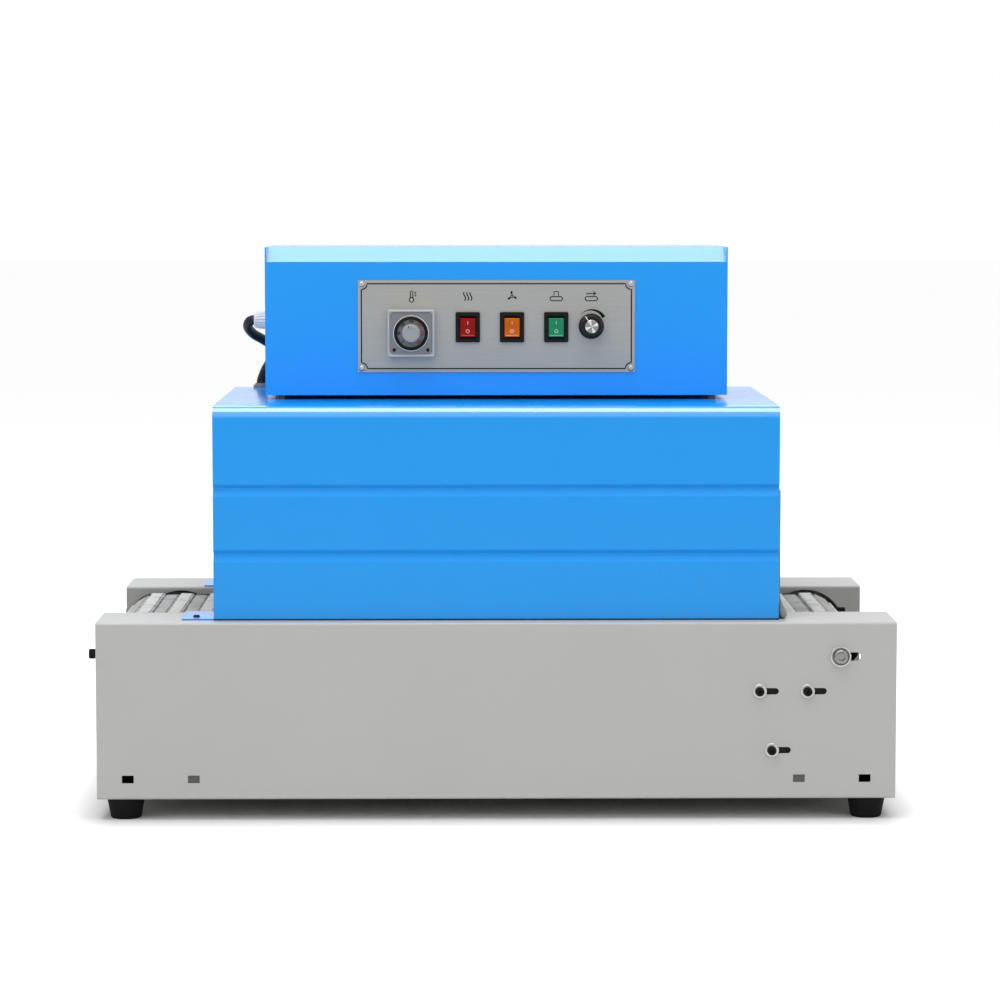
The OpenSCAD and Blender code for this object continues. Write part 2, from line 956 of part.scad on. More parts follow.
bushing_x = box_left - bushing_side;
bushing_y = hood_y - bushing_in;

module cable_bushing() {
    color([0.55, 0.55, 0.54])
        at(bushing_x, bushing_y, hood_top)
            difference() {
                union() {
                    cylinder(d = cable_d + 7, h = 3);
                    cylinder(d1 = cable_d + 5, d2 = cable_d + 3, h = 5);
                }
                translate([0, 0, -1])
                    cylinder(d = cable_d + 2 * clear, h = 9);
            }
}

// Route of the cable: out of the gland, a tight turn back behind the box, then down into the bushing
cable_back = bushing_y - gland_y;
cable_fall = gland_z - hood_top;
cable_knots = [[2, 0, 0], [-gland_long, 0, 0], [-gland_long - 6, 4, -3], [-gland_long - 7, 12, -9],
    [-gland_long - 2, 22, -16], [-13, 32, -22], [-6, cable_back * 0.54, -cable_fall * 0.364],
    [-3, cable_back * 0.72, -cable_fall * 0.468], [-6, cable_back * 0.88, -cable_fall * 0.597],
    [-12.5, cable_back * 0.97, -cable_fall * 0.74], [-bushing_side + 0.8, cable_back, -cable_fall + 10],
    [-bushing_side, cable_back, -cable_fall + 5.5], [-bushing_side, cable_back, -cable_fall + 0.8]];

function curve_at(p, i, t) =
    let (a = p[max(i - 1, 0)], b = p[i], c = p[min(i + 1, len(p) - 1)], d = p[min(i + 2, len(p) - 1)])
    0.5 * (2 * b + (c - a) * t + (2 * a - 5 * b + 4 * c - d) * t * t + (3 * b - a - 3 * c + d) * t * t * t);

function unit(v) = v / norm(v);

module cable() {
    steps = 4;
    sides = 12;
    last = (len(cable_knots) - 1) * steps;
    path = [for (i = [0 : last]) curve_at(cable_knots, min(floor(i / steps), len(cable_knots) - 2),
        i == last ? 1 : (i % steps) / steps)];
    points = [for (i = [0 : last])
        let (d = unit(path[min(i + 1, last)] - path[max(i - 1, 0)]), n = unit(cross([0, 1, 0], d)),
            m = cross(n, d))
        for (k = [0 : sides - 1])
            let (a = k * 360 / sides)
            path[i] + cable_d / 2 * (cos(a) * n + sin(a) * m)];
    faces = concat(
        [[for (k = [0 : sides - 1]) k]],
        [for (i = [0 : last - 1]) for (k = [0 : sides - 1])
            [i * sides + (k + 1) % sides, i * sides + k, (i + 1) * sides + k,
                (i + 1) * sides + (k + 1) % sides]],
        [[for (k = [0 : sides - 1]) last * sides + sides - 1 - k]]);
    color(black)
        at(box_left, gland_y, gland_z)
            polyhedron(points, faces, convexity = 6);
}

front_rail();
rear_rail();
cross_member_left();
cross_member_right();
rubber_feet();
bottom_cover();
belt_rods();
front_chain();
rear_chain();
drive_shaft();
idler_shaft();
drive_sprockets();
idler_sprockets();
shaft_bolts();
idler_blocks();
tension_screws();
motor_plate();
motor_screws();
hood_skin();
hood_left_end();
hood_right_end();
tab_screws();
exit_cloths();
liner_ceiling();
liner_front_wall();
liner_rear_wall();
box_shell();
box_left_cheek();
box_right_cheek();
box_floor();
box_spacers();
control_plate();
plate_screws();
temp_controller();
temp_dial();
red_switch();
red_rocker();
orange_switch();
orange_rocker();
green_switch();
green_rocker();
speed_knob();
knob_cap();
cable_gland();
cable();
cable_bushing();
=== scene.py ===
import json
import math

import bmesh
import bpy
from mathutils import Matrix, Vector


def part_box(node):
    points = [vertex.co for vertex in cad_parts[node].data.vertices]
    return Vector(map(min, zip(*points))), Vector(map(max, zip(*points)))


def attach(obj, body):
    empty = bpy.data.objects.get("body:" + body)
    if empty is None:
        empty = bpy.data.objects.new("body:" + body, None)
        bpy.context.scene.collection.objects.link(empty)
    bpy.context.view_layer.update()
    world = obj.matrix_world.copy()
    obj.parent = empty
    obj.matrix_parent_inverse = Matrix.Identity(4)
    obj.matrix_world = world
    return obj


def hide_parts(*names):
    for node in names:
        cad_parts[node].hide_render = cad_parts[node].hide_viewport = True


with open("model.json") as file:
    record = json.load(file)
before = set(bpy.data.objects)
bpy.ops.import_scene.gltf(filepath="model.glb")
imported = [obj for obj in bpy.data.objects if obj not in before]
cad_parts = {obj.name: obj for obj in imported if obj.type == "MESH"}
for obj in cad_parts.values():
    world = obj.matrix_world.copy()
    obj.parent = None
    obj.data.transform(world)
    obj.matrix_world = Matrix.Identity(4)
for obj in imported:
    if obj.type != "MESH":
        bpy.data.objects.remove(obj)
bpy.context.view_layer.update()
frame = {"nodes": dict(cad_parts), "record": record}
nodes = frame["nodes"]
scene = bpy.context.scene
mm = 0.001
fullTurn = 2 * math.pi
print("frame loaded:", len(nodes), "nodes")


def linked(name, data):
    obj = bpy.data.objects.new(name, data)
    scene.collection.objects.link(obj)
    return obj


camera = {
    "place": (-0.02915, -3.4967, 0.6201),
    "focalPixels": 3330.5,
    "framePixels": 1000,
    "pitch": 0.0902,  # radians below level
    "yaw": 0.0113,  # radians towards +X
}


def addCamera(c):
    data = bpy.data.cameras.new("photoCamera")
    data.sensor_width = 36.0
    data.lens = c["focalPixels"] / c["framePixels"] * data.sensor_width
    data.clip_end = 60
    cp, sp = math.cos(c["pitch"]), math.sin(c["pitch"])
    cy, sy = math.cos(c["yaw"]), math.sin(c["yaw"])
    right = Vector((cy, -sy, 0))
    ahead = Vector((sy * cp, cy * cp, -sp))
    up = Vector((sy * sp, cy * sp, cp))
    turn = Matrix((right, up, -ahead)).transposed().to_4x4()
    scene.camera = linked("photoCamera", data)
    scene.camera.matrix_world = Matrix.Translation(c["place"]) @ turn


addCamera(camera)
scene.view_settings.view_transform = "Standard"
print("camera set")


# Fills a node's inputs, each with a value or from another node's socket
def feed(tree, node, feeds):
    for label, value in feeds.items():
        socket = node.inputs[label]
        if isinstance(value, bpy.types.NodeSocket):
            tree.links.new(value, socket)
        elif socket.type == "RGBA":
            socket.default_value = (*value, 1)
        else:
            socket.default_value = value
    return node


def addNode(tree, kind, feeds=None, **settings):
    node = tree.nodes.new(kind)
    for key, value in settings.items():
        setattr(node, key, value)
    return feed(tree, node, feeds or {})


def mathNode(tree, operation, *values):
    return addNode(tree, "ShaderNodeMath", dict(enumerate(values)), operation=operation).outputs[0]


def vectorMath(tree, operation, *values):
    node = addNode(tree, "ShaderNodeVectorMath", dict(enumerate(values)), operation=operation)
    return node.outputs["Value" if operation == "LENGTH" else "Vector"]


def mapped(tree, value, low, high, start=0.0, end=1.0, kind="LINEAR"):
    feeds = {"Value": value, "From Min": start, "From Max": end, "To Min": low, "To Max": high}
    return addNode(tree, "ShaderNodeMapRange", feeds, interpolation_type=kind).outputs[0]


def mixed(tree, kind, amount, a, b):
    feeds = {0: amount, 6: a, 7: b}
    return addNode(tree, "ShaderNodeMix", feeds, data_type="RGBA", blend_type=kind).outputs[2]


def noise(tree, coords, scale, detail, distortion=0.0):
    feeds = {"Vector": coords, "Scale": scale, "Detail": detail, "Distortion": distortion}
    return addNode(tree, "ShaderNodeTexNoise", feeds).outputs["Fac"]


def bumped(tree, height, strength, distance, **more):
    feeds = {"Height": height, "Strength": strength, "Distance": distance, **more}
    return addNode(tree, "ShaderNodeBump", feeds).outputs[0]


def attribute(tree, name):
    return addNode(tree, "ShaderNodeAttribute", attribute_name=name).outputs["Fac"]


def objectCoords(tree):
    return addNode(tree, "ShaderNodeTexCoord").outputs["Object"]


def scaledCoords(tree, scale=(1, 1, 1)):
    return addNode(tree, "ShaderNodeMapping", {"Vector": objectCoords(tree), "Scale": scale}).outputs[0]


def split(tree, vector):
    return addNode(tree, "ShaderNodeSeparateXYZ", {0: vector}).outputs


def seenRay(tree):
    path = addNode(tree, "ShaderNodeLightPath").outputs
    first = mathNode(tree, "MAXIMUM", path["Is Camera Ray"], path["Is Glossy Ray"])
    return mathNode(tree, "MAXIMUM", first, path["Is Transmission Ray"])


studio = {
    "worldLight": 0.46,
    "floorReach": 30,
    "floorColor": (0.76, 0.76, 0.76),
    "floorRough": 0.9,
    "floorSpecular": 0.1,
    "floorGlow": 0.6,  # seen directly and away from the machine, so that its shadow stays
    "shadowHalf": (0.375, 0.20, 1.0),
    "shadowFade": 0.09,
    "lamps": {  # place, aim, size, power
        "keyLamp": ((-1.7, -2.7, 2.3), (0, 0, 0.3), (1.8, 1.2), 20.0),
        "fillLamp": ((2.2, -2.3, 1.5), (0, 0, 0.3), (1.6, 1.6), 9.0),
        "topLamp": ((-0.1, -0.5, 2.6), (0, 0, 0.4), (2.6, 1.8), 46.0),
        "stripLamp": ((0.0, 3.2, 2.75), (0, 0, 0.5), (4.4, 1.2), 28.0),
    },
}


def addLamp(name, place, aim, size, power):
    data = bpy.data.lights.new(name, "AREA")
    data.shape = "RECTANGLE"
    data.size, data.size_y = size
    data.energy = power
    obj = linked(name, data)
    obj.location = place
    obj.rotation_euler = (Vector(aim) - Vector(place)).to_track_quat("-Z", "Y").to_euler()


def addStudio(s):
    world = bpy.data.worlds.new("softRoom")
    scene.world = world
    world.use_nodes = True
    tree = world.node_tree
    level = mapped(tree, seenRay(tree), s["worldLight"], 1.0)
    feed(tree, tree.nodes["Background"], {"Color": (1, 1, 1), "Strength": level})

    far = s["floorReach"]
    mesh = bpy.data.meshes.new("floor")
    mesh.from_pydata([(-far, -far, 0), (far, -far, 0), (far, far, 0), (-far, far, 0)], [], [(0, 1, 2, 3)])
    floor = linked("floor", mesh)
    mat = bpy.data.materials.new("paleFloor")
    mat.use_nodes = True
    tree = mat.node_tree
    beyond = vectorMath(tree, "SUBTRACT", vectorMath(tree, "ABSOLUTE", objectCoords(tree)), s["shadowHalf"])
    gap = vectorMath(tree, "LENGTH", vectorMath(tree, "MAXIMUM", beyond, (0, 0, 0)))
    glow = mapped(tree, gap, 0.0, s["floorGlow"], 0.0, s["shadowFade"], "SMOOTHSTEP")
    feed(tree, tree.nodes["Principled BSDF"], {
        "Base Color": s["floorColor"], "Roughness": s["floorRough"],
        "Specular IOR Level": s["floorSpecular"], "Emission Color": (1, 1, 1),
        "Emission Strength": mathNode(tree, "MULTIPLY", seenRay(tree), glow)})
    mesh.materials.append(mat)
    for name, lamp in s["lamps"].items():
        addLamp(name, *lamp)


addStudio(studio)
print("studio set")


def newGroup(name, inputs):
    tree = bpy.data.node_groups.new(name, "ShaderNodeTree")
    for label, value in inputs.items():
        kind = "NodeSocketColor" if isinstance(value, tuple) else "NodeSocketFloat"
        socket = tree.interface.new_socket(name=label, in_out="INPUT", socket_type=kind)
        socket.default_value = (*value, 1) if isinstance(value, tuple) else value
    for label, kind in (("Color", "Color"), ("Roughness", "Float"), ("Normal", "Vector")):
        tree.interface.new_socket(name=label, in_out="OUTPUT", socket_type="NodeSocket" + kind)
    return tree, addNode(tree, "NodeGroupInput").outputs, addNode(tree, "NodeGroupOutput")


# Noise scales and detail, and the depth of the bump in metres
coatLook = {
    "cloud": (9.0, 4.0),
    "specks": (240.0, 6.0),
    "speckPower": 3.0,
    "gloss": (26.0, 5.0),
    "dust": (0.62, 0.61, 0.58),
    "peelDetail": 2.0,
    "peelDepth": 0.0004,
}
grainLook = {
    "streak": (900.0, 4.0),
    "soft": (16.0, 3.0),
    "streakShare": 0.7,
    "softShare": 0.3,
    "grooveDepth": 0.0002,
}
mouldLook = {
    "cloud": (60.0, 5.0),
    "cloudPower": 2.0,
    "dust": (0.5, 0.49, 0.47),
    "pitDetail": 2.0,
    "pitDepth": 0.0003,
}
weaveLook = {
    "threads": (("Y", 210.0), ("X", 330.0)),
    "waver": 1.5,
    "creaseStretch": (0.7, 1.0, 0.7),
    "crease": (58.0, 3.0, 0.5),  # scale, detail, distortion
    "blotStretch": (1.0, 0.5, 1.0),
    "blot": (34.0, 6.0),
    "blotRange": (-0.5, 1.5),
    "threadShade": 0.22,
    "foldShade": (0.25, 1.05, 0.30, 0.53),  # shades, and the noise they span
    "edgeLine": (0.38, 0.026),  # place across the sleeve, half width
    "edgeLineShade": (0.16, 0.16, 0.15),
    "lowShade": 0.66,
    "roughness": (0.55, 0.85),
    "threadDepth": 0.0006,
    "foldDepth": 0.008,
}


# Sprayed coat: slight clouding, orange peel and a little settled dust
def buildCoatGroup(c):
    tree, ins, outs = newGroup("sprayedCoat", {
        "Color": (0.5, 0.5, 0.5), "Clouding": 0.05, "Peel Scale": 700.0, "Peel": 0.12, "Gloss Low": 0.25,
        "Gloss High": 0.35, "Dust": 0.1})
    coords = scaledCoords(tree)
    dark = mapped(tree, ins["Clouding"], 1.0, 0.0)
    shade = mapped(tree, noise(tree, coords, *c["cloud"]), dark, 1.0)
    toned = mixed(tree, "MULTIPLY", 1.0, ins["Color"], shade)
    specks = mathNode(tree, "POWER", noise(tree, coords, *c["specks"]), c["speckPower"])
    settled = mathNode(tree, "MULTIPLY", specks, ins["Dust"])
    peel = noise(tree, coords, ins["Peel Scale"], c["peelDetail"])
    feed(tree, outs, {
        "Color": mixed(tree, "MIX", settled, toned, c["dust"]),
        "Roughness": mapped(tree, noise(tree, coords, *c["gloss"]), ins["Gloss Low"], ins["Gloss High"]),
        "Normal": bumped(tree, peel, ins["Peel"], c["peelDepth"])})
    return tree


# Drawn or brushed metal: streaks along one axis, with light scratches
def buildGrainGroup(name, stretch, g):
    tree, ins, outs = newGroup(name, {
        "Color": (0.6, 0.6, 0.6), "Streak": 0.2, "Gloss Low": 0.25, "Gloss High": 0.45, "Groove": 0.1})
    streak = noise(tree, scaledCoords(tree, stretch), *g["streak"])
    soft = noise(tree, scaledCoords(tree), *g["soft"])
    both = mathNode(tree, "ADD", mathNode(tree, "MULTIPLY", streak, g["streakShare"]),
                    mathNode(tree, "MULTIPLY", soft, g["softShare"]))
    shade = mapped(tree, both, mapped(tree, ins["Streak"], 1.0, 0.0), 1.0)
    feed(tree, outs, {
        "Color": mixed(tree, "MULTIPLY", 1.0, ins["Color"], shade),
        "Roughness": mapped(tree, both, ins["Gloss Low"], ins["Gloss High"]),
        "Normal": bumped(tree, streak, ins["Groove"], g["grooveDepth"])})
    return tree


# Woven glass cloth: threads both ways, pressed folds with painted shade in them, a dark line near one edge as
# painted shade of that edge, soft stains and painted shade on the low sleeves
def buildWeaveGroup(w):
    tree, ins, outs = newGroup("glassWeave", {
        "Color": (0.7, 0.7, 0.67), "Stain": (0.4, 0.4, 0.37), "Stain Amount": 0.3, "Thread": 0.3,
        "Crease": 0.4, "Fold Shade": 0.3})
    coords = scaledCoords(tree)
    thread = mathNode(tree, "MULTIPLY", *(
        addNode(tree, "ShaderNodeTexWave", {"Scale": scale, "Distortion": w["waver"], "Vector": coords},
                wave_type="BANDS", bands_direction=way).outputs["Fac"] for way, scale in w["threads"]))
    crease = noise(tree, scaledCoords(tree, w["creaseStretch"]), *w["crease"])
    blot = noise(tree, scaledCoords(tree, w["blotStretch"]), *w["blot"])
    stain = mathNode(tree, "MULTIPLY", mapped(tree, blot, *w["blotRange"]), ins["Stain Amount"])
    clean = mixed(tree, "MULTIPLY", w["threadShade"], ins["Color"], thread)
    worn = mixed(tree, "MIX", stain, clean, ins["Stain"])
    # Painted shade: darker in the folds
    deep = mapped(tree, crease, *w["foldShade"], "SMOOTHSTEP")
    folded = mixed(tree, "MULTIPLY", ins["Fold Shade"], worn, deep)
    # Painted shade: a dark line near one edge of each sleeve
    edgeLine = mathNode(tree, "COMPARE", attribute(tree, "across"), *w["edgeLine"])
    edgeShaded = mixed(tree, "MULTIPLY", edgeLine, folded, w["edgeLineShade"])
    # Painted shade: the low sleeves darker than the high ones
    low = mapped(tree, attribute(tree, "low"), 1.0, w["lowShade"])
    fine = bumped(tree, thread, ins["Thread"], w["threadDepth"])
    feed(tree, outs, {
        "Color": mixed(tree, "MULTIPLY", 1.0, edgeShaded, low),
        "Roughness": mapped(tree, crease, *w["roughness"]),
        "Normal": bumped(tree, crease, ins["Crease"], w["foldDepth"], Normal=fine)})
    return tree


# Moulded plastic and rubber: fine pitting, handling marks and pale dust
def buildMouldGroup(m):
    tree, ins, outs = newGroup("mouldedSkin", {
        "Color": (0.02, 0.02, 0.02), "Pit Scale": 900.0, "Pit": 0.1, "Gloss Low": 0.3, "Gloss High": 0.5,
        "Dust": 0.1})
    coords = scaledCoords(tree)
    cloud = noise(tree, coords, *m["cloud"])
    dust = mathNode(tree, "MULTIPLY", mathNode(tree, "POWER", cloud, m["cloudPower"]), ins["Dust"])
    pits = noise(tree, coords, ins["Pit Scale"], m["pitDetail"])
    feed(tree, outs, {
        "Color": mixed(tree, "MIX", dust, ins["Color"], m["dust"]),
        "Roughness": mapped(tree, cloud, ins["Gloss Low"], ins["Gloss High"]),
        "Normal": bumped(tree, pits, ins["Pit"], m["pitDepth"])})
    return tree


coatGroup = buildCoatGroup(coatLook)
grainAlongX = buildGrainGroup("grainAlongX", (0.02, 1.0, 1.0), grainLook)
weaveGroup = buildWeaveGroup(weaveLook)
mouldGroup = buildMouldGroup(mouldLook)
coatRough = 0.1
coatIor = (1.5, 2.05)  # on the flat, on a bend
clothSpecular = 0.25


def finish(name, group, values, metal=0.0, coat=0.0, specular=0.5):
    mat = bpy.data.materials.new(name)
    mat.use_nodes = True
    tree = mat.node_tree
    look = addNode(tree, "ShaderNodeGroup", values, node_tree=group).outputs
    feeds = {"Base Color": look["Color"], "Roughness": look["Roughness"], "Normal": look["Normal"],
             "Metallic": metal, "Coat Weight": coat, "Coat Roughness": coatRough,
             "Specular IOR Level": specular}
    if group is coatGroup:
        bend = attribute(tree, "bend")
        feeds["Coat Weight"] = mapped(tree, bend, coat, 1.0)
        feeds["Coat IOR"] = mapped(tree, bend, *coatIor)
    feed(tree, tree.nodes["Principled BSDF"], feeds)
    return mat


def coatFinish(name, color, low, high, clouding, peel, dust, **more):
    return finish(name, coatGroup, {
        "Color": color, "Gloss Low": low, "Gloss High": high, "Clouding": clouding, "Peel": peel,
        "Dust": dust}, **more)


def metalFinish(name, color, low, high, streak, groove, metal=1.0):
    return finish(name, grainAlongX, {
        "Color": color, "Gloss Low": low, "Gloss High": high, "Streak": streak,
        "Groove": groove}, metal=metal)


def mouldFinish(name, color, low, high, pit, dust, specular=0.5):
    return finish(name, mouldGroup, {
        "Color": color, "Gloss Low": low, "Gloss High": high, "Pit": pit, "Dust": dust}, specular=specular)


def weaveFinish(name, color, stain, amount, thread, crease, shade):
    return finish(name, weaveGroup, {
        "Color": color, "Stain": stain, "Stain Amount": amount, "Thread": thread, "Crease": crease,
        "Fold Shade": shade}, specular=clothSpecular)


finishes = {
    "rail_paint": coatFinish("railPaint", (0.50, 0.50, 0.485), 0.34, 0.46, 0.05, 0.10, 0.06),
    "hood_paint": coatFinish("hoodPaint", (0.006, 0.345, 0.93), 0.14, 0.22, 0.04, 0.06, 0.01,
                             coat=0.1, specular=0.3),
    "foot_rubber": mouldFinish("footRubber", (0.006, 0.006, 0.007), 0.6, 0.85, 0.3, 0.015, 0.1),
    "sleeve_cloth": weaveFinish("sleeveCloth", (0.90, 0.90, 0.87), (0.45, 0.46, 0.42), 0.16, 0.5, 0.7, 0.4),
    "strip_cloth": weaveFinish("stripCloth", (0.46, 0.46, 0.43), (0.25, 0.25, 0.23), 0.35, 0.8, 0.25, 0.12),
    "chain_steel": metalFinish("chainSteel", (0.20, 0.20, 0.19), 0.3, 0.55, 0.5, 0.15, 0.9),
    "zinc_screws": metalFinish("zincScrews", (0.55, 0.55, 0.53), 0.20, 0.38, 0.45, 0.12),
    "black_screws": mouldFinish("blackScrews", (0.005, 0.005, 0.006), 0.35, 0.55, 0.2, 0.015, 0.12),
    "liner_steel": metalFinish("linerSteel", (0.48, 0.48, 0.47), 0.25, 0.5, 0.3, 0.12),
    "plate_aluminium": metalFinish("plateAluminium", (0.42, 0.415, 0.385), 0.34, 0.5, 0.24, 0.10, 0.35),
    "controller_plastic": mouldFinish("controllerPlastic", (0.50, 0.50, 0.49), 0.35, 0.5, 0.10, 0.05, 0.3),
    "black_plastic": mouldFinish("blackPlastic", (0.005, 0.005, 0.006), 0.3, 0.45, 0.08, 0.015, 0.12),
    "red_lens": mouldFinish("redLens", (0.36, 0.004, 0.003), 0.12, 0.22, 0.03, 0.0, 0.1),
    "orange_lens": mouldFinish("orangeLens", (0.72, 0.13, 0.003), 0.12, 0.22, 0.03, 0.0, 0.1),
    "green_lens": mouldFinish("greenLens", (0.015, 0.27, 0.115), 0.12, 0.22, 0.03, 0.0, 0.1),
    "gland_nylon": mouldFinish("glandNylon", (0.80, 0.80, 0.79), 0.35, 0.5, 0.08, 0.03),
    "cable_rubber": mouldFinish("cableRubber", (0.007, 0.007, 0.008), 0.38, 0.55, 0.2, 0.035, 0.25),
    "bushing_rubber": mouldFinish("bushingRubber", (0.20, 0.20, 0.20), 0.5, 0.7, 0.2, 0.06),
}
inkFinish = mouldFinish("panelInk", (0.004, 0.004, 0.004), 0.6, 0.75, 0.05, 0.0, 0.1)
whiteInk = mouldFinish("whiteMark", (0.80, 0.80, 0.78), 0.4, 0.55, 0.05, 0.02)
redInk = mouldFinish("redMark", (0.45, 0.01, 0.015), 0.5, 0.65, 0.05, 0.0, 0.2)
faceGrey = mouldFinish("faceGrey", (0.22, 0.22, 0.215), 0.45, 0.6, 0.10, 0.05, 0.3)
knobGrey = mouldFinish("knobGrey", (0.36, 0.36, 0.35), 0.35, 0.5, 0.10, 0.03, 0.3)
# Bolt heads: darker steel whose strong streaks give grain and painted reflection both
boltSteel = metalFinish("boltSteel", (0.42, 0.42, 0.41), 0.12, 0.3, 0.95, 0.3)
# Painted shade for the holes in the webs: grey for the shaded cross member, black for the dark inside
holeShadeGrey = mouldFinish("holeShadeGrey", (0.105, 0.105, 0.10), 0.5, 0.7, 0.2, 0.05, 0.2)
holeShadeBlack = mouldFinish("holeShadeBlack", (0.0015, 0.0015, 0.0015), 0.7, 0.85, 0.05, 0.0, 0.0)
# Painted shade: dark bluish steel for the box spacers, which sit in the shaded gap under the box
spacerShadeSteel = metalFinish("spacerShadeSteel", (0.09, 0.10, 0.12), 0.3, 0.5, 0.4, 0.1)
glossBlack = mouldFinish("glossBlack", (0.003, 0.003, 0.004), 0.10, 0.20, 0.04, 0.01, 0.2)


# Multiplies a finish's colour by a shade
def shadeBase(mat, amount, shade):
    tree = mat.node_tree
    base = tree.nodes["Principled BSDF"].inputs["Base Color"]
    tree.links.new(mixed(tree, "MULTIPLY", amount, base.links[0].from_socket, shade), base)


# Painted shade inside the rails: where it starts, how it fades in, and its colour factor
skirtShade = {"y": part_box("rear_rail")[0].y, "fade": (0.0012, 0.0006), "shade": (0.68, 0.68, 0.67)}


# Painted shade: darkens the paint on the skirts and everything between them, where the rails and hood shade
# it
def shadeSkirts(mat, k):
    tree = mat.node_tree
    out = mathNode(tree, "ABSOLUTE", split(tree, objectCoords(tree))["Y"])
    shadeBase(mat, mapped(tree, out, 0.0, 1.0, *(k["y"] + f for f in k["fade"])), k["shade"])


shadeSkirts(finishes["rail_paint"], skirtShade)
for row in frame["record"]["subparts"]:
    mesh = nodes[row["node"]].data
    mesh.materials.clear()
    mesh.materials.append(finishes[row["material_slot"]])
# Painted shade on the box spacers
nodes["box_spacers"].data.materials[0] = spacerShadeSteel
print("finishes on the solids")


def centre(node):
    low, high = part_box(node)
    return (low + high) / 2


def keep(obj, replaced=(), body="machine", smooth=0.6):
    obj.data.shade_smooth()
    obj.data.set_sharp_from_angle(angle=smooth)
    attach(obj, body)
    if replaced:
        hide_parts(*replaced)
    return obj


def fromBmesh(name, bm, material=None):
    mesh = bpy.data.meshes.new(name)
    bmesh.ops.recalc_face_normals(bm, faces=bm.faces)
    bm.to_mesh(mesh)
    bm.free()
    if material:
        mesh.materials.append(material)
    return linked(name, mesh)


def piece(name, bm, slot, replaced=(), body="machine", smooth=0.6, material=None):
    return keep(fromBmesh(name, bm, material or finishes[slot]), replaced, body, smooth)


def plainMesh(obj):
    deps = bpy.context.evaluated_depsgraph_get()
    return bpy.data.meshes.new_from_object(obj.evaluated_get(deps), depsgraph=deps)


def thicken(obj, thickness, offset, even=False):
    wall = obj.modifiers.new("wall", "SOLIDIFY")
    wall.thickness, wall.offset, wall.use_even_offset = thickness, offset, even
    mesh = plainMesh(obj)
    obj.modifiers.clear()
    obj.data = mesh


# Faces between rows of vertices; rings close on themselves, and a loop joins the last row to the first
def skin(bm, rows, rings=True, loop=False):
    for a, b in zip(rows, rows[1:] + rows[:1] if loop else rows[1:]):
        for k in range(len(a) if rings else len(a) - 1):
            n = (k + 1) % len(a)
            bm.faces.new((a[k], a[n], b[n], b[k]))
    if rings and not loop:
        bm.faces.new(list(reversed(rows[0])))
        bm.faces.new(rows[-1])


# Rounds the corners of a line of 2-D points; a lead adds a point on the flat beside each round
def filletLine(points, radii, steps=5, closed=False, lead=0.0):
    out = []
    count = len(points)
    for i, (p, r) in enumerate(zip(points, radii)):
        here = Vector(p)
        if r <= 0 or (not closed and i in (0, count - 1)):
            out.append(here)
            continue
        before, after = Vector(points[i - 1]), Vector(points[(i + 1) % count])
        a, b = (before - here).normalized(), (after - here).normalized()
        half = math.acos(max(-1, min(1, a.dot(b)))) / 2
        reach = r / math.tan(half)
        mid = here + (a + b).normalized() * (r / math.sin(half))
        start, end = here + a * reach - mid, here + b * reach - mid
        swing = start.angle_signed(end)
        if lead:
            out.append(here + a * (reach + lead))
        out += [mid + Matrix.Rotation(-swing * k / steps, 2) @ start for k in range(steps + 1)]
        if lead:
            out.append(here + b * (reach + lead))
    return out


crossArm = 0.3  # half width of a cross recess, of its radius


# Radius of a turned piece's rim in one direction: round, fluted, six-sided or cross-shaped
def rimRadius(radius, angle, kind, flutes, depth):
    if kind == "fluted":
        return radius - depth * (0.5 - 0.5 * math.cos(angle * flutes))
    if kind == "hex":
        return radius / math.cos(angle % (math.pi / 3) - math.pi / 6)
    if kind == "cross":
        c, s = max(abs(math.cos(angle)), 1e-6), max(abs(math.sin(angle)), 1e-6)
        arm = radius * crossArm
        return max(min(radius / c, arm / s), min(arm / c, radius / s))
    return radius


# Piece turned round the Z axis from rows of radius, height and kind of rim, in millimetres
def turned(bm, profile, steps, flutes=0, depth=0.0, place=Matrix(), loop=False):
    rings = []
    for row in profile:
        radius, height, kind = (*row, "round")[:3]
        ring = []
        for k in range(steps):
            a = fullTurn * k / steps
            r = rimRadius(radius * mm, a, kind, flutes, depth * mm)
            ring.append(bm.verts.new(place @ Vector((r * math.cos(a), r * math.sin(a), height * mm))))
        rings.append(ring)
    skin(bm, rings, loop=loop)


# Turns the Z axis of a turned piece towards the viewer, -Y
def facing(place):
    return Matrix.Translation(place) @ Matrix.Rotation(math.pi / 2, 4, "X")


# Flat shape between two y values; loop holds (x, z) points
def slab(bm, loop, yFront, yBack):
    skin(bm, [[bm.verts.new((x, y, z)) for x, z in loop] for y in (yFront, yBack)])


# Printed line along (x, z) points; width may change along it
def printedLine(bm, points, width, yFront, yBack, closed=False, place=Matrix()):
    count = len(points)
    grid = []
    for i, p in enumerate(points):
        before = points[i - 1] if closed or i else p
        after = points[(i + 1) % count] if closed or i < count - 1 else p
        along = (Vector(after) - Vector(before)).normalized()
        aside = Vector((-along.y, along.x)) * (width[i] if isinstance(width, list) else width) / 2
        a, b = Vector(p) + aside, Vector(p) - aside
        grid.append([bm.verts.new(place @ Vector((q.x, y, q.y)))
                     for q, y in ((a, yFront), (b, yFront), (b, yBack), (a, yBack))])
    skin(bm, grid, loop=closed)


def arc(cx, cz, r, start, end, steps):
    angles = [start + (end - start) / steps * k for k in range(steps + 1)]
    return [(cx + r * math.cos(a), cz + r * math.sin(a)) for a in angles]


def circle(cx, cz, r, steps):
    return arc(cx, cz, r, 0, fullTurn, steps)[:-1]


# Solid along X from a loop of (y, z) points
def barAlongX(bm, loop, x0, x1):
    skin(bm, [[bm.verts.new((x, y, z)) for y, z in loop] for x in (x0, x1)])


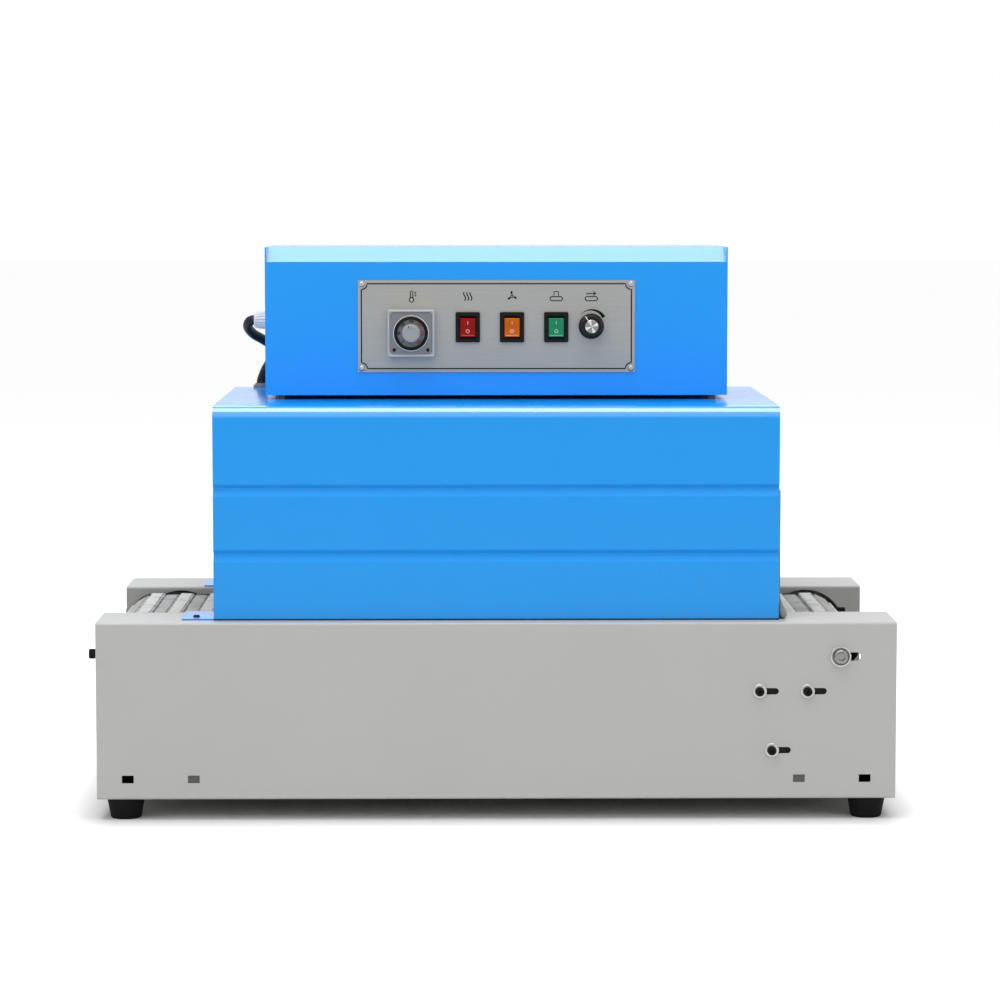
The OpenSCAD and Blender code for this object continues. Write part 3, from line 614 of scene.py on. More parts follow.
# Geometry Nodes tree with the named inputs that a modifier then fills in
def nodeTree(name, **inputs):
    tree = bpy.data.node_groups.new(name, "GeometryNodeTree")
    tree.interface.new_socket(name="Geometry", in_out="INPUT", socket_type="NodeSocketGeometry")
    ids = {}
    for kind, labels in inputs.items():
        for label in labels:
            socket = tree.interface.new_socket(name=label, in_out="INPUT", socket_type="NodeSocket" + kind)
            ids[label] = socket.identifier
    tree.interface.new_socket(name="Geometry", in_out="OUTPUT", socket_type="NodeSocketGeometry")
    return tree, addNode(tree, "NodeGroupInput").outputs, ids


def realCopies(tree, copies):
    return addNode(tree, "GeometryNodeRealizeInstances", {0: copies}).outputs[0]


def endTree(tree, ins, shape):
    dressed = addNode(tree, "GeometryNodeSetMaterial", {"Geometry": shape, "Material": ins["Finish"]})
    addNode(tree, "NodeGroupOutput", {0: dressed.outputs[0]})


def runTree(name, base, tree, ids, values):
    mod = base.modifiers.new(name, "NODES")
    mod.node_group = tree
    for label, value in values.items():
        mod[ids[label]] = value
    mesh = plainMesh(base)
    mesh.name = name
    base.modifiers.remove(mod)
    bpy.data.objects.remove(base)
    return linked(name, mesh)


def buildCopyTree():
    tree, ins, ids = nodeTree("copyOnPoints", Object=("Piece",), Float=("Size", "Turn Spread"),
                              Vector=("Turn Axis",), Int=("Seed",), Material=("Finish",))
    shape = addNode(tree, "GeometryNodeObjectInfo", {"Object": ins["Piece"]})
    points = addNode(tree, "GeometryNodeMeshToPoints", {"Mesh": ins["Geometry"]})
    spin = addNode(tree, "FunctionNodeRandomValue", {3: ins["Turn Spread"], "Seed": ins["Seed"]},
                   data_type="FLOAT")
    turn = addNode(tree, "FunctionNodeAxisAngleToRotation", {
        "Axis": ins["Turn Axis"], "Angle": spin.outputs[1]})
    copies = addNode(tree, "GeometryNodeInstanceOnPoints", {
        "Points": points.outputs[0], "Instance": shape.outputs["Geometry"], "Rotation": turn.outputs[0],
        "Scale": ins["Size"]})
    endTree(tree, ins, realCopies(tree, copies.outputs[0]))
    return tree, ids


copyTree, copyIds = buildCopyTree()
copySeed = 3
anyTurn = 6.2  # radians


# Copies of one small shape on the given places; the shape is made round the origin
def copySet(name, bm, places, slot, replaced=(), spread=0.0, axis=(0, 1, 0), material=None):
    shape = fromBmesh(name + "Shape", bm)
    mesh = bpy.data.meshes.new(name + "Places")
    mesh.from_pydata([tuple(p) for p in places], [], [])
    obj = runTree(name, linked(name + "Places", mesh), copyTree, copyIds, {
        "Piece": shape, "Size": 1.0, "Turn Spread": spread, "Turn Axis": axis, "Seed": copySeed,
        "Finish": material or finishes[slot]})
    bpy.data.objects.remove(shape)
    keep(obj, replaced)


belt = {
    "leftAxle": centre("idler_shaft").x / mm,
    "rightAxle": centre("drive_shaft").x / mm,
    "axleHeight": centre("drive_shaft").z / mm,
    "rods": 98,
    "teeth": 9,
    "run": 0.2,  # rod distances, as in the solids
    "bendSteps": 64,
    "sleeveLength": 218.0,
    "sleeveSteps": 40,
    "sleeveGap": 0.5,
    "highTop": 5.0,
    "lowTop": 3.3,
    "under": 3.0,
    "edge": 2.2,
    "edgeSteps": 3,
    "wrinkle": 2.6,
    "wrinkleStretch": (0.4, 1.0, 0.4),
    "wrinkleNoise": (70.0, 2.0),  # scale, detail
    "wrinkleLevel": 0.55,
    "sway": 0.06,  # radians
    "rodLength": 252.8,
    "rodDiameter": 5.0,
    "rodSides": 14,
    "seed": 11,
}


# Closed line of the belt, starting on top of the left axle
def beltLine(b):
    span = b["rightAxle"] - b["leftAxle"]
    pitch = 2 * span / (b["rods"] - b["teeth"])
    radius = pitch * b["teeth"] / fullTurn
    points = []
    for side, axle in ((1, b["rightAxle"]), (-1, b["leftAxle"])):
        start = side * math.pi / 2
        points += arc(axle, b["axleHeight"], radius, start, start - math.pi, b["bendSteps"])
    points = points[-1:] + points[:-1]
    curve = bpy.data.curves.new("beltLine", "CURVE")
    curve.dimensions = "3D"
    spline = curve.splines.new("POLY")
    spline.points.add(len(points) - 1)
    for spot, (x, z) in zip(spline.points, points):
        spot.co = (x * mm, 0, z * mm, 1)
    spline.use_cyclic_u = True
    return linked("beltLine", curve), pitch


def stored(tree, shape, name, value, kind="FLOAT"):
    return addNode(tree, "GeometryNodeStoreNamedAttribute", {"Geometry": shape, "Name": name, "Value": value},
                   data_type=kind, domain="POINT").outputs[0]


# Places along the belt line with the outward turn of each rod, and which of them are odd
def beltPlaces(tree, ins):
    index = addNode(tree, "GeometryNodeInputIndex").outputs[0]
    along = mathNode(tree, "DIVIDE", mathNode(tree, "ADD", index, ins["Run"]), ins["Rods"])
    dots = addNode(tree, "GeometryNodePoints", {"Count": ins["Rods"]})
    sample = addNode(tree, "GeometryNodeSampleCurve", {"Curves": ins["Geometry"], "Factor": along},
                     mode="FACTOR", use_all_curves=True)
    place = addNode(tree, "GeometryNodeSetPosition", {
        "Geometry": dots.outputs[0], "Position": sample.outputs["Position"]})
    turn = addNode(tree, "FunctionNodeAxesToRotation", {
        "Primary Axis": sample.outputs["Tangent"], "Secondary Axis": (0, 1, 0)},
        primary_axis="X", secondary_axis="Y")
    odd = mathNode(tree, "MODULO", index, 2)
    marked = stored(tree, place.outputs[0], "low", odd)
    return stored(tree, marked, "outward", turn.outputs[0], "QUATERNION"), odd


def outwardTurn(tree):
    node = addNode(tree, "GeometryNodeInputNamedAttribute", data_type="QUATERNION")
    node.inputs["Name"].default_value = "outward"
    return node.outputs["Attribute"]


def positions(tree):
    return addNode(tree, "GeometryNodeInputPosition").outputs[0]


# One flattened sleeve along Y, from its underside to its top
def sleeveShape(tree, ins, top, b):
    ends = {}
    for sign, label in ((-0.5, "Start"), (0.5, "End")):
        reach = mathNode(tree, "MULTIPLY", ins["Length"], sign)
        ends[label] = addNode(tree, "ShaderNodeCombineXYZ", {"Y": reach}).outputs[0]
    line = addNode(tree, "GeometryNodeCurvePrimitiveLine", ends)
    fine = addNode(tree, "GeometryNodeResampleCurve", {"Curve": line.outputs[0], "Count": b["sleeveSteps"]})
    tall = mathNode(tree, "ADD", ins[top], ins["Under"])
    flat = addNode(tree, "GeometryNodeCurvePrimitiveQuadrilateral", {"Width": ins["Width"], "Height": tall})
    soft = addNode(tree, "GeometryNodeFilletCurve", {
        "Curve": flat.outputs[0], "Count": b["edgeSteps"], "Radius": ins["Edge"]}, mode="POLY")
    tube = addNode(tree, "GeometryNodeCurveToMesh", {
        "Curve": fine.outputs[0], "Profile Curve": soft.outputs[0], "Fill Caps": True})
    middle = mathNode(tree, "MULTIPLY", mathNode(tree, "SUBTRACT", ins[top], ins["Under"]), 0.5)
    lift = addNode(tree, "ShaderNodeCombineXYZ", {"Z": middle})
    move = addNode(tree, "GeometryNodeTransform", {
        "Geometry": tube.outputs[0], "Translation": lift.outputs[0]})
    across = mathNode(tree, "DIVIDE", split(tree, positions(tree))["X"], ins["Width"])
    return stored(tree, move.outputs[0], "across", across)


def buildSleeveTree(b):
    tree, ins, ids = nodeTree(
        "sleevesOnBelt", Int=("Rods", "Seed"), Material=("Finish",),
        Float=("Run", "Length", "Width", "High Top", "Low Top", "Under", "Edge", "Wrinkle", "Sway"))
    places, odd = beltPlaces(tree, ins)
    other = mathNode(tree, "MULTIPLY", ins["Sway"], -1)
    sway = addNode(tree, "FunctionNodeRandomValue", {2: other, 3: ins["Sway"], "Seed": ins["Seed"]},
                   data_type="FLOAT")
    lean = addNode(tree, "FunctionNodeAxisAngleToRotation", {"Axis": (0, 1, 0), "Angle": sway.outputs[1]})
    swayed = addNode(tree, "FunctionNodeRotateRotation", {0: outwardTurn(tree), 1: lean.outputs[0]},
                     rotation_space="LOCAL")
    both = addNode(tree, "GeometryNodeJoinGeometry")
    for chosen, top in ((mathNode(tree, "SUBTRACT", 1, odd), "High Top"), (odd, "Low Top")):
        rows = addNode(tree, "GeometryNodeInstanceOnPoints", {
            "Points": places, "Selection": chosen, "Instance": sleeveShape(tree, ins, top, b),
            "Rotation": swayed.outputs[0]})
        feed(tree, both, {0: rows.outputs[0]})
    fold = noise(tree, vectorMath(tree, "MULTIPLY", positions(tree), b["wrinkleStretch"]), *b["wrinkleNoise"])
    amount = mathNode(tree, "MULTIPLY", mathNode(tree, "SUBTRACT", fold, b["wrinkleLevel"]), ins["Wrinkle"])
    push = addNode(tree, "ShaderNodeVectorMath", {
        0: addNode(tree, "GeometryNodeInputNormal").outputs[0], "Scale": amount}, operation="SCALE")
    crease = addNode(tree, "GeometryNodeSetPosition", {
        "Geometry": realCopies(tree, both.outputs[0]), "Offset": push.outputs[0]})
    endTree(tree, ins, crease.outputs[0])
    return tree, ids


def buildRodTree(b):
    tree, ins, ids = nodeTree("rodsOnBelt", Int=("Rods",), Float=("Run", "Length", "Radius"),
                              Material=("Finish",))
    places = beltPlaces(tree, ins)[0]
    rod = addNode(tree, "GeometryNodeMeshCylinder", {
        "Vertices": b["rodSides"], "Radius": ins["Radius"], "Depth": ins["Length"]})
    lay = addNode(tree, "GeometryNodeTransform", {
        "Geometry": rod.outputs[0], "Rotation": (math.pi / 2, 0, 0)})
    rods = addNode(tree, "GeometryNodeInstanceOnPoints", {
        "Points": places, "Instance": lay.outputs[0], "Rotation": outwardTurn(tree)})
    endTree(tree, ins, realCopies(tree, rods.outputs[0]))
    return tree, ids


def addBelt(b):
    line, pitch = beltLine(b)
    sleeves = runTree("beltSleeves", line, *buildSleeveTree(b), {
        "Rods": b["rods"], "Run": b["run"], "Length": b["sleeveLength"] * mm,
        "Width": (pitch - b["sleeveGap"]) * mm, "High Top": b["highTop"] * mm, "Low Top": b["lowTop"] * mm,
        "Under": b["under"] * mm, "Edge": b["edge"] * mm, "Wrinkle": b["wrinkle"] * mm, "Sway": b["sway"],
        "Seed": b["seed"], "Finish": finishes["sleeve_cloth"]})
    keep(sleeves, ["belt_rods"])
    rods = runTree("beltRods", beltLine(b)[0], *buildRodTree(b), {
        "Rods": b["rods"], "Run": b["run"], "Length": b["rodLength"] * mm,
        "Radius": b["rodDiameter"] / 2 * mm, "Finish": finishes["chain_steel"]})
    keep(rods)


addBelt(belt)
print("belt laid")


hood = {
    "edge": 12.0,
    "grooveDepth": 4.4,
    "grooveRise": 1.3,  # root above the groove's middle
    "grooves": (65.0, 131.0),  # above the rails
    "grooveWidth": 13.0,
    "lip": 4.0,
    "root": 1.6,
    "sheet": 1.5,
    "gap": 0.3,
    "bendSteps": 8,
    "lead": 0.6,
    "slack": 0.01,
    "smooth": 0.35,
    "shadeBead": ((-0.9, 0.0), (0.8, 0.0), (0.8, 1.3), (-0.9, 1.3)),  # from the foot of the front sheet
    "shadeBeadSoft": 0.5,
    "shadeBeadSteps": 3,
}


def addHood(h):
    low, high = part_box("hood_skin")
    y, z0, z1 = high.y / mm, low.z / mm, high.z / mm
    foot = z0 - h["gap"]
    half = h["grooveWidth"] / 2
    side, radii = [(-y, z0)], [0]
    for g in h["grooves"]:
        base = foot + g
        side += [(-y, base - half), (-y + h["grooveDepth"], base + h["grooveRise"]), (-y, base + half)]
        radii += [h["lip"], h["root"], h["lip"]]
    side.append((-y, z1))
    radii.append(h["edge"])
    mirrored = [(-a, b) for a, b in reversed(side)]
    line = filletLine(side + mirrored, radii + radii[::-1], h["bendSteps"], lead=h["lead"])
    bm = bmesh.new()
    bend = bm.verts.layers.float.new("bend")
    skin(bm, [[bm.verts.new((x, p.x * mm, p.y * mm)) for p in line] for x in (low.x, high.x)], rings=False)
    for v in bm.verts:
        up, out = v.co.z / mm, abs(v.co.y) / mm
        v[bend] = float(z1 - h["edge"] < up < z1 - h["slack"] and out < y - h["slack"])
    obj = fromBmesh("hoodShell", bm, finishes["hood_paint"])
    if obj.data.polygons[0].normal.y > 0:
        obj.data.flip_normals()
    thicken(obj, h["sheet"] * mm, -1, True)
    keep(obj, ["hood_skin"], smooth=h["smooth"])
    # Painted shadow: dark rubber beads along the foot of the hood, front and rear, for the contact shadow
    # there
    bm = bmesh.new()
    bead = filletLine(h["shadeBead"], (h["shadeBeadSoft"],) * 4, h["shadeBeadSteps"], True)
    for way in (1, -1):
        barAlongX(bm, [(way * (p.x - y) * mm, (foot + p.y) * mm) for p in bead], low.x, high.x)
    piece("hoodSeals", bm, "foot_rubber")


addHood(hood)
print("hood shell folded")


feet = {
    "profile": ((14.4, 0), (15.5, 1.2), (16.4, 6), (17.6, 13), (18.9, 19), (19.25, 20.2), (19.25, 21.0)),
    "steps": 40,
}


def addFeet(f):
    bm = bmesh.new()
    turned(bm, f["profile"], f["steps"])
    low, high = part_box("rubber_feet")
    r = f["profile"][-1][0] * mm
    places = [(x, y, 0) for x in (low.x + r, high.x - r) for y in (low.y + r, high.y - r)]
    copySet("footSet", bm, places, "foot_rubber", ["rubber_feet"], anyTurn, (0, 0, 1))


addFeet(feet)
print("feet set")


screws = {
    "boltWasher": ((9.9, 0), (10.4, 0.4), (10.4, 1.3), (9.9, 1.6), (7.9, 1.6)),
    "boltHead": ((7.3, 1.2), (7.6, 1.9), (7.6, 4.2), (7.0, 5.7), (5.9, 6.5), (4.4, 6.6)),
    "boltSocket": (3.4, 6.6, 3.6),  # half width, top, bottom
    "boltShade": ((7.9, 1.5), (8.7, 1.5), (8.7, 1.75), (7.9, 1.75)),
    "boltTurn": 0.4,
    "shadeSteps": 40,
    "motorWasher": ((6.9, 0), (7.25, 0.3), (7.25, 0.9), (6.9, 1.2), (4.9, 1.2)),
    "motorHead": ((4.5, 0.9), (4.6, 4.6), (4.2, 5.2), (2.9, 5.2)),
    "motorSocket": (2.1, 5.2, 2.8),
    "motorSide": 12.5,
    "plateHead": ((2.9, 0), (3.0, 0.3), (2.7, 1.0), (2.0, 1.5), (1.7, 1.6)),
    "plateCross": (1.5, 1.6, 1.0),
    "plateInset": 4.0,
    "crossSteps": 48,
    "tensionHead": ((4.6, 6.0), (4.98, 5.6, "fluted"), (4.98, 0.5, "fluted"), (4.6, 0.0), (3.2, 0.0)),
    "tensionSocket": ((2.5, 0.0, "hex"), (2.5, 3.0, "hex")),
    "tensionFlutes": (36, 0.35),  # number, depth
    "tensionSteps": 144,
    "tensionShank": (2.9, 5.5),  # radius, start
    "shankSteps": 20,
}


def screwShape(rows, recess=None, rim="hex", steps=24, place=Matrix()):
    bm = bmesh.new()
    if recess:
        half, top, bottom = recess
        rows = (*rows, (half, top, rim), (half, bottom, rim))
    turned(bm, rows, steps, place=place)
    return bm


def addFaceScrews(s):
    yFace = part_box("front_rail")[0].y
    bolt = centre("shaft_bolts")
    front = facing((0, 0, 0))
    back = Matrix.Rotation(math.pi, 4, "Z") @ front
    for name, place, y in (("Front", front, yFace), ("Rear", back, -yFace)):
        spot = [(bolt.x, y, bolt.z)]
        washer = screwShape(s["boltWasher"], place=place)
        copySet("boltWasher" + name, washer, spot, "zinc_screws", ["shaft_bolts"])
        head = screwShape(s["boltHead"], s["boltSocket"], place=place)
        copySet("boltHead" + name, head, spot, "zinc_screws", spread=s["boltTurn"], material=boltSteel)
        bm = bmesh.new()
        turned(bm, s["boltShade"], s["shadeSteps"], place=Matrix.Translation(spot[0]) @ place, loop=True)
        piece("boltShade" + name, bm, "black_screws")
    low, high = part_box("motor_screws")
    r = s["motorWasher"][1][0] * mm
    left, right, upper, lower = low.x + r, high.x - r, high.z - r, low.z + r
    spots = [(left, yFace, upper), (right, yFace, upper), (left + s["motorSide"] * mm, yFace, lower)]
    copySet("motorWashers", screwShape(s["motorWasher"], place=front), spots, "zinc_screws", ["motor_screws"])
    head = screwShape(s["motorHead"], s["motorSocket"], place=front)
    copySet("motorHeads", head, spots, "black_screws", spread=anyTurn)


# Knurled heads on the left end; the front one stands further out, as in the photo
def addTensionScrews(s):
    low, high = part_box("tension_screws")
    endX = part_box("front_rail")[0].x
    bm = bmesh.new()
    r = s["tensionHead"][1][0] * mm
    thick, start = s["tensionShank"]
    for y, x in ((low.y + r, low.x), (high.y - r, endX - s["tensionHead"][0][1] * mm)):
        place = Matrix.Translation((x, y, centre("tension_screws").z)) @ Matrix.Rotation(math.pi / 2, 4, "Y")
        turned(bm, s["tensionHead"] + s["tensionSocket"], s["tensionSteps"], *s["tensionFlutes"], place)
        turned(bm, ((thick, start), (thick, (high.x - x) / mm)), s["shankSteps"], place=place)
    piece("tensionScrewSet", bm, "black_screws", ["tension_screws"])


def addPlateScrews(s):
    low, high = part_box("control_plate")
    inset = s["plateInset"] * mm
    spots = [(x, low.y, z) for x in (low.x + inset, high.x - inset) for z in (low.z + inset, high.z - inset)]
    shape = screwShape(s["plateHead"], s["plateCross"], "cross", s["crossSteps"], facing((0, 0, 0)))
    copySet("plateScrewSet", shape, spots, "zinc_screws", ["plate_screws"], anyTurn)


addFaceScrews(screws)
addTensionScrews(screws)
addPlateScrews(screws)
print("screws set")


closers = {
    "holeShades": {  # inset from the rail's end, depth, slot, finish
        "outer": (31.0, 4.0, "black_plastic", holeShadeBlack),
        "inner": (97.0, 1.45, "bushing_rubber", holeShadeGrey),
    },
    "holeShadeRim": 0.6,
    "holeHeight": 41.5,
    "hole": (11.6, 7.6),
    "stripThick": 1.5,
}


# Painted shade in the holes of both webs: black blocks behind the outer holes for the dark inside of the
# rails, grey ones behind the inner holes for the shaded cross member; and a strip that closes the rear of the
# gap under the box
def addClosers(c):
    low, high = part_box("front_rail")
    w, h = (v / 2 * mm for v in c["hole"])
    z = c["holeHeight"] * mm
    for name, (inset, deep, slot, dress) in c["holeShades"].items():
        bm = bmesh.new()
        for x in (low.x + inset * mm, high.x - inset * mm):
            loop = [(x - w, z - h), (x + w, z - h), (x + w, z + h), (x - w, z + h)]
            for way in (1, -1):
                slab(bm, loop, way * (low.y + c["holeShadeRim"] * mm), way * (low.y + deep * mm))
        piece(name + "HolePlugs", bm, slot, material=dress)
    shellLow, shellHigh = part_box("box_shell")
    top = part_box("hood_skin")[1].z
    bm = bmesh.new()
    loop = [(shellLow.x, top), (shellHigh.x, top), (shellHigh.x, shellLow.z), (shellLow.x, shellLow.z)]
    slab(bm, loop, shellHigh.y - c["stripThick"] * mm, shellHigh.y)
    piece("boxRearStrip", bm, "hood_paint")


addClosers(closers)
print("holes and gap closed")


cable = {
    "diameter": 10.5,
    # from the gland, mm: out, tight turn back behind the box, then down into the bushing
    "route": ((2, 0, 0), (-20, 0, 0), (-26, 4, -3), (-27, 12, -9), (-22, 22, -16), (-13, 32, -22),
              (-6, 44.28, -28.03), (-3, 59.04, -36.04), (-6, 72.16, -45.97), (-12.5, 79.54, -56.98),
              (-16.7, 82, -67), (-17.5, 82, -71.5), (-17.5, 82, -76.2)),
    "sides": 20,
    "steps": 8,
    "smooth": 1.0,
}
gland = {
    "hex": ((10.2, 0, "hex"), (10.9, 0.5, "hex"), (10.9, 6.6, "hex"), (10.0, 7.2, "hex")),
    "nut": ((9.6, 7.0, "fluted"), (9.6, 13.5, "fluted"), (9.0, 16.4, "fluted"), (8.3, 18.6), (7.4, 19.8),
            (5.6, 20.0)),
    "flutes": (18, 0.9),  # number, depth
    "hexSteps": 24,
    "nutSteps": 144,
}


# Smooth line through the given points
def smoothLine(points, steps):
    knots = [Vector(p) for p in points]
    out = []
    for i in range(len(knots) - 1):
        a, b = knots[max(i - 1, 0)], knots[i]
        c, d = knots[i + 1], knots[min(i + 2, len(knots) - 1)]
        for k in range(steps):
            t = k / steps
            square, cube = (2 * a - 5 * b + 4 * c - d) * t * t, (3 * b - a - 3 * c + d) * t ** 3
            out.append(0.5 * (2 * b + (c - a) * t + square + cube))
    return out + [knots[-1]]


def sweptTube(line, radius, sides):
    bm = bmesh.new()
    rings = []
    side = Vector((0, 0, 1))
    for i, p in enumerate(line):
        along = (line[min(i + 1, len(line) - 1)] - line[max(i - 1, 0)]).normalized()
        side = (side - along * side.dot(along)).normalized()
        other = along.cross(side)
        rings.append([bm.verts.new(p + c * side + s * other) for c, s in circle(0, 0, radius, sides)])
    skin(bm, rings)
    return bm


def addCable(c, g):
    start = centre("cable_gland")
    start.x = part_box("box_left_cheek")[0].x
    line = [start + p * mm for p in smoothLine(c["route"], c["steps"])]
    tube = sweptTube(line, c["diameter"] / 2 * mm, c["sides"])
    piece("cableTube", tube, "cable_rubber", ["cable"], smooth=c["smooth"])
    place = Matrix.Translation(start) @ Matrix.Rotation(-math.pi / 2, 4, "Y")
    bm = bmesh.new()
    turned(bm, g["hex"], g["hexSteps"], place=place)
    turned(bm, g["nut"], g["nutSteps"], *g["flutes"], place)
    piece("glandNut", bm, "gland_nylon", ["cable_gland"])


addCable(cable, gland)
print("cable led")


cloths = {
    "width": 40.0,
    "sheet": 1.3,
    "gap": 0.85,
    "foot": 16.0,  # lower edge of the flat strip, inside the hem
    "hem": ((0.3, 17.0), (1.9, 22.5), (3.0, 18.5), (4.8, 14.0), (7.0, 9.5), (8.7, 6.0), (9.0, 3.4),
            (7.9, 1.3), (5.6, 0.5), (3.4, 1.2), (1.8, 3.4), (0.7, 9.0)),
    # share of the width, size of the hem there
    "hemRings": ((0.0, 0.8), (0.012, 0.94), (0.05, 1.0), (0.3, 0.985), (0.6, 1.0), (0.95, 1.0), (0.988, 0.94),
                 (1.0, 0.8)),
    "ripple": 0.35,
    "wave": (0.42, 0.5),  # radians for each mm across, for each row up
    "grid": (8, 16),
    "smooth": 1.2,
}


# Closed hem roll along Y through rings of (x, z) points
def hemRoll(c, x0, y0, z0):
    bm = bmesh.new()
    midX, midZ = (sum(values) / len(c["hem"]) for values in zip(*c["hem"]))
    rings = []
    for share, size in c["hemRings"]:
        y = y0 + share * c["width"] * mm
        loop = [(midX + (x - midX) * size, midZ + (z - midZ) * size) for x, z in c["hem"]]
        rings.append([bm.verts.new((x0 + x * mm, y, z0 + z * mm)) for x, z in loop])
    skin(bm, rings)
    bmesh.ops.triangulate(bm, faces=[f for f in bm.faces if len(f.verts) > 4])
    return bm


# Heavy cloth strips beside the exit: flat on the end wall, each with a thick hem on the rail
def addCloths(c):
    low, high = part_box("exit_cloths")
    tall = (high.z - low.z) / mm
    across, up = c["grid"]
    for side, y0 in (("Front", low.y), ("Rear", high.y - c["width"] * mm)):
        hem = piece("clothHem" + side, hemRoll(c, low.x, y0, low.z), "strip_cloth", smooth=c["smooth"])
        bm = bmesh.new()
        rows = []
        for i in range(up + 1):
            z = c["foot"] + (tall - c["foot"]) * i / up
            row = []
            for k in range(across + 1):
                y = c["width"] * k / across
                swell = c["ripple"] * (1 - i / up) * (1 + math.sin(y * c["wave"][0] + i * c["wave"][1])) / 2
                row.append(bm.verts.new((low.x + (c["gap"] + swell) * mm, y0 + y * mm, low.z + z * mm)))
            rows.append(row)
        skin(bm, rows, rings=False)
        obj = fromBmesh("exitCloth" + side, bm, finishes["strip_cloth"])
        thicken(obj, c["sheet"] * mm, 0)
        keep(obj, ["exit_cloths"], smooth=c["smooth"])


addCloths(cloths)
print("cloth strips hung")


beltSign = arc(3.4, -2, 1.7, -math.pi / 2, math.pi / 2, 8) + arc(-3.4, -2, 1.7, math.pi / 2, math.pi * 1.5, 8)
panel = {
    "print": 0.06,
    "borderInset": 3.6,
    "borderWidth": 1.3,
    "scallop": 6.0,
    "scallopSteps": 8,
    "signLine": 1.0,
    "signScale": 1.25,
    "signHeight": 30.8,
    "signs": {  # place along the plate, then lines: points, width, closed
        "heat": (-87.3, [(circle(0, -3, 1.9, 20), 1.0, True),
                         ([(-1, -1.2), (-1, 3.6), (0, 4.4), (1, 3.6), (1, -1.2)], 1.0, False),
                         *(([(2.4, z), (3.9, z)], 1.0, False) for z in (0.4, 1.9, 3.4))]),
        "glow": (-29.5, [([(x + 0.8 * math.sin(s * 0.8), s - 3.6) for s in range(8)], 1.2, False)
                         for x in (-2.6, 0.0, 2.6)]),
        "fan": (16.0, [(circle(0, 0, 1, 20), 1.0, True)]),
        "belt": (61.5, [(beltSign, 1.0, True),
                        ([(-1.8, 0.6), (-1.8, 3.8), (1.8, 3.8), (1.8, 0.6)], 1.0, False)]),
        "pace": (97.6, [(beltSign, 1.0, True), ([(-4.2, 2.2), (3.4, 2.2)], 1.0, False),
                        ([(1.6, 3.8), (3.8, 2.2), (1.6, 0.6)], 1.0, False)]),
    },
    "blade": (1.2, 3.4, 1.3, -0.5),  # start, length, swell of either side
    "bladeSteps": 4,
    "bladeTurns": (90, 210, 330),
    "crescent": (97.6, 2.2, 14.6),
    "crescentTurn": (138, 28),
    "crescentWidth": (0.4, 3.6),
    "crescentGrow": 1.3,
    "crescentSteps": 24,
}


def placed(points, mid, x=0.0, z=0.0, scale=1.0):
    return [(mid.x + (x + a * scale) * mm, mid.z + (z + b * scale) * mm) for a, b in points]


def addPanelPrint(p):
    low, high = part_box("control_plate")
    mid = centre("control_plate")
    bm = bmesh.new()
    depth = (low.y - p["print"] * mm, low.y)
    halfW = (high.x - low.x) / 2 / mm - p["borderInset"]
    halfH = (high.z - low.z) / 2 / mm - p["borderInset"]
    border = []
    for k, (sx, sz) in enumerate(((1, 1), (-1, 1), (-1, -1), (1, -1))):
        start = math.radians(270 + 90 * k)
        border += arc(sx * halfW, sz * halfH, p["scallop"], start, start - math.pi / 2, p["scallopSteps"])
    printedLine(bm, placed(border, mid), p["borderWidth"] * mm, *depth, True)
    level = (p["signHeight"], p["signScale"])
    for x, lines in p["signs"].values():
        for points, width, closed in lines:
            printedLine(bm, placed(points, mid, x, *level), p["signLine"] * width * mm, *depth, closed)
    start, long, *swells = p["blade"]
    shares = [k / p["bladeSteps"] for k in range(p["bladeSteps"] + 1)]
    upper, lower = ([(start + long * t, swell * math.sin(t * math.pi)) for t in shares] for swell in swells)
    for degrees in p["bladeTurns"]:
        turn = Matrix.Rotation(math.radians(degrees), 2)
        loop = [turn @ Vector(q) for q in upper + lower[-2:0:-1]]
        slab(bm, placed(loop, mid, p["signs"]["fan"][0], *level), *depth)
    thin, wide = p["crescentWidth"]
    steps = p["crescentSteps"]
    sweep = arc(*p["crescent"], *(math.radians(a) for a in p["crescentTurn"]), steps)
    widths = [(thin + (wide - thin) * (k / steps) ** p["crescentGrow"]) * mm for k in range(steps + 1)]
    printedLine(bm, placed(sweep, mid), widths, *depth)
    piece("panelPrint", bm, "plate_aluminium", material=inkFinish)


addPanelPrint(panel)
print("panel printed")


